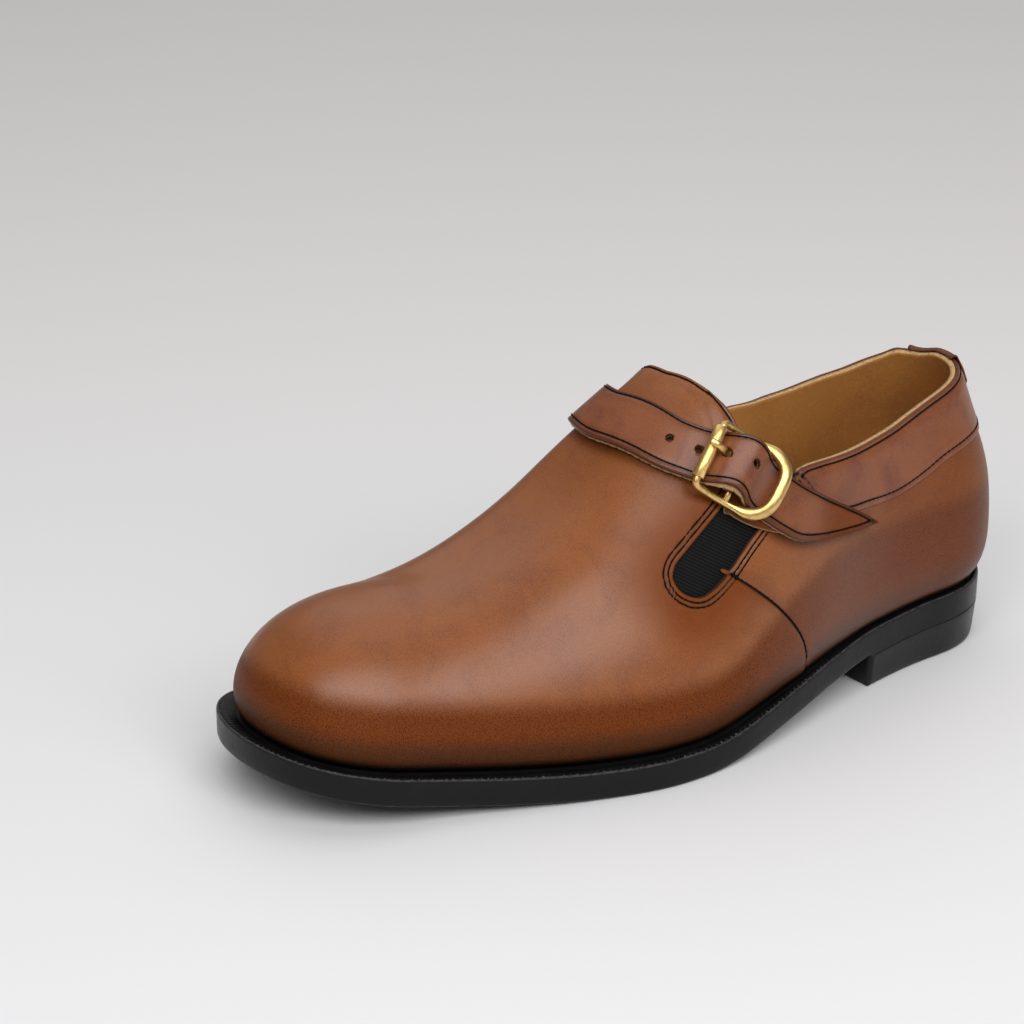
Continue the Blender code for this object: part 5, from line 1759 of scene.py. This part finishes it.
def tread_finish(name, colour):
    """Natural sole leather with scuffs."""
    f = Finish(name, Base_Color=colour, Roughness=0.6)
    scuff = f.noise(60, 5.0, 0.7, distort=1.0)
    fine = f.noise(800, 3.0, 0.6)
    c = f.mix(scuff.ramp(0.4, 0.7), colour, shade(colour, 0.6))
    return f.wear(Base_Color=c, Roughness=0.5 + scuff * 0.25, Normal=f.bumps((scuff, 0.15), (fine, 0.06)))


# ---------------------------------------------------------------- operators

CAMERA_RIGHT = (0.57671388, 0.81694372, 0.00201389)
CAMERA_UP = (-0.29730291, 0.20758086, 0.93194483)
CAMERA_AT = (645.68344, -506.07567, 387.03107)
LIGHTS = (
    # name, place, width and height, in m
    ("key", (0.87, -0.57, 1.08), (1.9, 0.8)),
    ("side", (1.37, 0.19, 0.8), (0.7, 0.5)),
    ("top", (-0.9, 0.7, 2.2), (3.2, 3.2)))


class SHOE_OT_stage(bpy.types.Operator):
    """Camera, floor and soft light"""
    bl_idname = "shoe.stage"
    bl_label = "Stage"

    def execute(self, context):
        scene = context.scene
        s = scene.shoe_stage
        data = bpy.data.cameras.new("camera")
        data.lens, data.sensor_width = s.lens, 36.0
        data.clip_start, data.clip_end = 0.05, 20.0
        camera = bpy.data.objects.new("camera", data)
        right, up = np.array(CAMERA_RIGHT), np.array(CAMERA_UP)
        back = np.cross(right, up)
        m = np.eye(4)
        m[:3, 0], m[:3, 1], m[:3, 2] = right, up, back
        m[:3, 3] = (np.array(CAMERA_AT) + SHIFT) * MM
        camera.matrix_world = Matrix(m.tolist())
        scene.collection.objects.link(camera)
        scene.camera = camera
        self.floor(scene, s)
        for name, place, size in LIGHTS:
            self.light(scene, name, place, size, getattr(s, name))
        scene.view_settings.view_transform = "Standard"
        world = bpy.data.worlds.new("studio")
        world.use_nodes = True
        sky = world.node_tree.nodes["Background"].inputs
        sky["Color"].default_value = (1.0, 0.985, 0.97, 1.0)
        sky["Strength"].default_value = s.sky
        scene.world = world
        return {"FINISHED"}

    def floor(self, scene, s):
        """Level disc, its colour a soft ramp along the line of sight."""
        w = np.linspace(0, 2 * np.pi, 97)[:-1]
        ring = np.column_stack([np.cos(w), np.sin(w), 0 * w]) * 4.0
        me = bpy.data.meshes.new("floor")
        me.from_pydata(ring.tolist(), [], [tuple(range(96))])
        ob = bpy.data.objects.new("floor", me)
        scene.collection.objects.link(ob)
        f = Finish("floor", Base_Color=tuple(s.floor), Roughness=0.55, Specular_IOR_Level=0.3)
        place = f.place()
        x = f.node("SeparateXYZ", {}, [place], 0)
        y = f.node("SeparateXYZ", {}, [place], 1)
        far = (y * 0.577 - x * 0.817).ramp(-0.05, 0.5)
        me.materials.append(f.wear(Base_Color=f.mix(far, tuple(s.floor), tuple(s.back))))

    def light(self, scene, name, place, size, power):
        """Level-topped area light (width, height) aimed at the middle of the shoe."""
        data = bpy.data.lights.new(name, "AREA")
        data.shape, data.energy = "RECTANGLE", power
        data.size, data.size_y = size
        ob = bpy.data.objects.new(name, data)
        z = unit(np.array(place) - np.array([0.0, 0.0, 0.05]))
        x = unit(np.cross([0.0, 0.0, 1.0], z))
        m = np.eye(4)
        m[:3, 0], m[:3, 1], m[:3, 2], m[:3, 3] = x, np.cross(z, x), z, place
        ob.matrix_world = Matrix(m.tolist())
        scene.collection.objects.link(ob)


class SHOE_OT_upper(bpy.types.Operator):
    """Outer leather of the upper, its lining and the insole sock"""
    bl_idname = "shoe.upper"
    bl_label = "Upper and Lining"

    def execute(self, context):
        p = context.scene.shoe_leather
        me = upper_mesh(HALVES)
        co, _no, v = vertex_data(me)
        displace(me, upper_relief(v["rim"], v["seam"], v["slot"], v["tongue"], v["foot"]))
        store(me, "sewn", upper_sewn(v["rim"], v["slot"], v["tongue"]))
        d = np.linspace(STRAP_START, STRAP_END + 1, 60)
        rim = on_strap(np.stack([d, strap_edges(d)[0], 0 * d], -1))
        store(me, "strap", distance_to(co / MM - SHIFT, rim)[0])
        calf = calf_finish("burnished_calf", tuple(p.calf), tuple(p.deep),
                           ("rim", "foot", "seam", "slot", "tongue"))
        edge_mat = edge_finish("dyed_edge", shade(tuple(p.deep), 0.5))
        ob = piece("upper_leather", me, [calf, edge_mat], ["upper"])
        thicken(ob, p.skin / MM, rim=1)

        coarse = {side: Half(side, 0.5) for side in (1, -1)}
        me = upper_mesh(coarse)
        displace(me, np.full(len(me.vertices), -p.skin / MM - 0.03))
        ob = piece("lining", me, [lining_finish("lining_leather", tuple(p.lining)),
                                             raw_finish("raw_edge", tuple(p.raw), dark="slot")])
        thicken(ob, p.backing / MM, rim=1)
        sock = lining_finish("sock_leather", shade(tuple(p.lining), 1.1))
        piece("insole_sock", sock_mesh(), [sock], ["insole"])
        return {"FINISHED"}


class SHOE_OT_collar(bpy.types.Operator):
    """Collar band round the topline and the tab folded over it at the back"""
    bl_idname = "shoe.collar"
    bl_label = "Collar"

    def execute(self, context):
        p = context.scene.shoe_leather
        calf = calf_finish("collar_calf", tuple(p.quarter), tuple(p.deep), ("rim", "hem"), 0.65)
        hem = edge_finish("collar_hem", shade(tuple(p.deep), 0.8))
        ob = piece("collar_band", band_mesh(p.band / MM), [calf, hem])
        thicken(ob, p.band / MM - 0.1, rim=0)
        tab, tack = tab_mesh(p.band / MM)
        ob = piece("heel_tab", tab, [tab_finish("tab_calf", tuple(p.quarter), tuple(p.deep))])
        thicken(ob, 0.5, rim=0)
        piece("tab_tack", tack, [thread_finish("tab_thread", tuple(p.thread))])
        return {"FINISHED"}


class SHOE_OT_elastic(bpy.types.Operator):
    """Elastic panels behind the slots"""
    bl_idname = "shoe.elastic"
    bl_label = "Elastic"

    def execute(self, context):
        p = context.scene.shoe_leather
        mat = elastic_finish("woven_elastic", tuple(p.elastic))
        for side, name in ((1, "lateral"), (-1, "medial")):
            me = gore_mesh(side, p.rib_pitch / MM, p.rib_height / MM)
            piece("elastic_" + name, me, [mat], ["gore_" + name])
        return {"FINISHED"}


class SHOE_OT_stitching(bpy.types.Operator):
    """Stitch rows of the upper"""
    bl_idname = "shoe.stitching"
    bl_label = "Stitching"

    def execute(self, context):
        p, leather = context.scene.shoe_stitching, context.scene.shoe_leather
        size = dict(pitch=p.pitch / MM, length=p.length / MM, radius=p.radius / MM)
        shape, band = Shape(), Shape()
        for side, half in HALVES.items():
            u, v = edge_uv(half)
            path, _n = offset_line(side, u, v, 0.01)
            y, z = path[:, 1], path[:, 2]
            tongue = (z > 86) & (y < 24) & (np.arange(len(y)) < len(y) / 2)
            slot = (z < 87) & (y < 38)
            for d, keep in ((TONGUE_ROW, tongue), (SLOT_ROWS[0], slot), (SLOT_ROWS[1], slot)):
                k = np.flatnonzero(keep)
                part = slice(k[0], k[-1] + 1)
                line, n = offset_line(side, u[part], v[part], d, -0.12)
                stitches(shape, line, n, **size)
            line, n = offset_line(side, half.seam_u[2:-2], half.seam_v[2:-2], 0.35, -0.35)
            stitches(shape, line, n, size["pitch"], size["length"], size["radius"] * 0.9)
            line, n = offset_line(side, half.seam_u, half.seam_v, 0.0, 0.3)
            run = lengths(line) if abs(line[0, 2]) > abs(line[-1, 2]) else lengths(line[::-1])[::-1]
            k = np.flatnonzero((run > 1.1) & (run < 4.6))
            stitches(shape, line[k], n[k], 2.6, 3.0, 0.5)
            start, low = band_low(side)
            uu = start + (1 - start) * np.linspace(0, 1, 260)
            lift = leather.band / MM
            for base, d, h in ((half.slot_low(uu), BAND_ROWS[0], band_height(lift, BAND_ROWS[0], 9.0, False)),
                               (low(uu), -BAND_ROWS[1], band_height(lift, 9.0, BAND_ROWS[1], False))):
                line, n = offset_line(side, uu, base, d, float(h) - 0.14)
                k = np.flatnonzero((line[:, 1] > 46) | (d > 0))
                stitches(band, line[k], n[k], **size)
        nib = layers_finish("nib_leather", shade(tuple(leather.calf), 0.7), tuple(leather.raw))
        piece("slot_nibs", nib_mesh(), [nib])
        mat = thread_finish("waxed_thread", tuple(leather.thread))
        piece("upper_stitching", shape.mesh("stitches", weld=1e-4), [mat])
        piece("collar_stitching", band.mesh("stitches", weld=1e-4), [mat])
        return {"FINISHED"}


class SHOE_OT_strap(bpy.types.Operator):
    """Strap in two layers with its stitching, and the loop that holds the buckle"""
    bl_idname = "shoe.strap"
    bl_label = "Strap"

    def execute(self, context):
        p, leather, sew = context.scene.shoe_strap, context.scene.shoe_leather, context.scene.shoe_stitching
        half = STRAP_T / 2
        split = half - p.top / MM
        calf = calf_finish("strap_calf", tuple(leather.quarter), tuple(leather.deep), ("near",), 0.75)
        raw = raw_finish("strap_raw", shade(tuple(leather.raw), 0.7))
        cutters = [punch(d, a, p.hole / MM, -4, 16) for d, a in HOLES]
        cutters.append(punch(-8.2, STRAP_SIDE, p.hole / MM + 0.2, 1.0, 15.0, on_buckle))
        me = carve(strap_layer(split, half, 0.0, p.dome / MM), cutters)
        piece("strap_leather", me, [calf], ["strap"])
        me = carve(strap_layer(-half, split - 0.02, 0.12, 0.0, 0.22), cutters)
        piece("strap_lining", me, [raw])
        for c in cutters:
            bpy.data.meshes.remove(c)

        shape = Shape()
        d = np.linspace(STRAP_START + 3, STRAP_END - 3.2, 700)
        low, high = strap_edges(d)
        slope = np.cos(np.arctan(np.gradient(low, d)))
        rise = curve(d, STRAP_RISE[:, 0], STRAP_RISE[:, 1]) + half - 0.1
        a_low, a_high = low + STRAP_ROWS[0] / slope, high - STRAP_ROWS[1]
        keep = a_low < a_high
        for a, up in ((a_low, 0.2), (a_high, 0.08)):
            q = np.stack([d, a, rise + up], -1)[keep]
            line, over = on_strap(q), on_strap(q + [0, 0, 1])
            stitches(shape, line, over - line, sew.pitch / MM, sew.length / MM, sew.radius / MM)
        a = np.linspace(-5.5, 5.5, 30)
        q = np.stack([a * 0 + STRAP_START + 3, a, a * 0 + rise[0]], -1)
        stitches(shape, on_strap(q), on_strap(q + [0, 0, 1]) - on_strap(q), 2.1, 2.0, sew.radius / MM)
        mat = thread_finish("strap_thread", tuple(leather.thread))
        piece("strap_stitching", shape.mesh("stitches", weld=1e-4), [mat])

        me = carve(loop_mesh(), [block(-8.0, 3.4, CHAPE_SLOT / 2, -1.0, 12.0)])
        hide = layers_finish("loop_leather", tuple(leather.deep), tuple(leather.raw))
        piece("buckle_loop", me, [hide], ["chape"])
        return {"FINISHED"}


class SHOE_OT_buckle(bpy.types.Operator):
    """Buckle frame with its bar, roller and prong"""
    bl_idname = "shoe.buckle"
    bl_label = "Buckle"

    def execute(self, context):
        brass = brass_finish("aged_brass", tuple(context.scene.shoe_strap.brass))
        path = frame_path()
        fat = smooth((path[:, 0] - 1.5) / 7)
        wide = ROD_R + (CRESCENT_R + 0.15 - ROD_R) * fat
        high = ROD_R + (ROD_R * 0.3) * fat
        shape = Shape()
        add_tube(shape, wire(path, wide, high, 28, closed=True, squareness=2.25), closed=True)
        across = np.linspace(-FRAME_HALF_W, FRAME_HALF_W, 7)
        bar = np.column_stack([np.full(7, CENTRE_BAR), across, np.full(7, CENTRE_H)])
        add_tube(shape, wire(bar, ROD_R * 0.95, ROD_R * 0.95, 20))
        piece("buckle_wire", shape.mesh("buckle"), [brass], ["buckle_frame"])

        w = circle(40)
        h = bow(FRAME_FRONT)
        rows = [(ROLLER_BORE, -0.5), (ROLLER_R - 0.2, -0.5), (ROLLER_R, -0.488), (ROLLER_R, -0.2), (ROLLER_R, 0.2),
                (ROLLER_R, 0.488), (ROLLER_R - 0.2, 0.5), (ROLLER_BORE, 0.5), (ROLLER_BORE, 0.0)]
        rings = [np.column_stack([FRAME_FRONT + r * np.cos(w), np.full(40, x * ROLLER_L + ROLLER_SHIFT),
                                  h + r * np.sin(w)]) for r, x in rows]
        shape = Shape()
        shape.add(on_buckle(np.stack(rings)), quads(len(rings), 40, wrap_rows=True, wrap_cols=True))
        # Painted highlight: the roller's brass is a lighter copy of the frame's, for a brighter reflection.
        bright = brass_finish("roller_brass", shade(tuple(context.scene.shoe_strap.brass), 1.25))
        piece("roller", shape.mesh("roller"), [bright], ["buckle_roller"])

        shape = Shape()
        w = np.linspace(0.0, 2 * np.pi, 41)[:-1]
        eye = np.column_stack([CENTRE_BAR - EYE_R * np.cos(w), 0 * w + STRAP_SIDE,
                               CENTRE_H + EYE_R * np.sin(w)])
        add_tube(shape, wire(eye, 1.15, 0.6, 16, closed=True, squareness=3.0), closed=True)
        pin = along(PRONG_PATH, 60)
        pin = np.column_stack([pin[:, 0], STRAP_SIDE - 0.06 * (pin[:, 0] + 9), pin[:, 1]])
        wide = np.interp(pin[:, 0], [-15.5, -15.1, -13, -2], [0.75, 1.05, 1.1, 1.15])
        add_tube(shape, wire(pin, wide, 0.7, 16, squareness=3.2))
        piece("prong", shape.mesh("prong"), [brass], ["buckle_prong"])
        return {"FINISHED"}


class SHOE_OT_sole(bpy.types.Operator):
    """Sole with its wheeled welt, and the heel"""
    bl_idname = "shoe.sole"
    bl_label = "Sole and Heel"

    def execute(self, context):
        p = context.scene.shoe_sole
        black = sole_finish("waxed_edge", tuple(p.edge))
        me = sole_mesh(1760, p.tick / MM)
        tread = tread_finish("sole_leather", tuple(p.tread))
        piece("sole_and_welt", me, [black, tread], ["outsole", "welt"])
        # Painted sheen: the heel's black is a lighter copy of the sole's edge, for its grazing sheen.
        heel = sole_finish("heel_black", shade(tuple(p.edge), 2.2))
        piece("heel_block", heel_mesh(), [heel], ["heel"])
        return {"FINISHED"}


HOLES = [(-23.0, 1.0), (-13.75, 0.7), (1.0, 1.5)]
OPERATORS = (SHOE_OT_stage, SHOE_OT_sole, SHOE_OT_upper, SHOE_OT_collar, SHOE_OT_elastic,
             SHOE_OT_stitching, SHOE_OT_strap, SHOE_OT_buckle)
GROUPS = {"shoe_leather": ShoeLeather, "shoe_stitching": ShoeStitching, "shoe_strap": ShoeStrap,
          "shoe_sole": ShoeSole, "shoe_stage": ShoeStage}


class SHOE_PT_panel(bpy.types.Panel):
    """Shoe builder"""
    bl_idname = "SHOE_PT_panel"
    bl_label = "Shoe"
    bl_space_type = "VIEW_3D"
    bl_region_type = "UI"
    bl_category = "Shoe"

    def draw(self, context):
        for name, group in GROUPS.items():
            column = self.layout.column(align=True)
            column.label(text=name.split("_")[1].title())
            for key in group.__annotations__:
                column.prop(getattr(context.scene, name), key)
        for operator in OPERATORS:
            self.layout.operator(operator.bl_idname)


CLASSES = (*GROUPS.values(), *OPERATORS, SHOE_PT_panel)


def register():
    for c in CLASSES:
        bpy.utils.register_class(c)
    for name, group in GROUPS.items():
        setattr(bpy.types.Scene, name, bpy.props.PointerProperty(type=group))


def unregister():
    for name in GROUPS:
        delattr(bpy.types.Scene, name)
    for c in reversed(CLASSES):
        bpy.utils.unregister_class(c)


def main():
    register()
    for operator in OPERATORS:
        getattr(bpy.ops.shoe, operator.bl_idname.split(".")[1])()


if __name__ == "__main__":
    main()
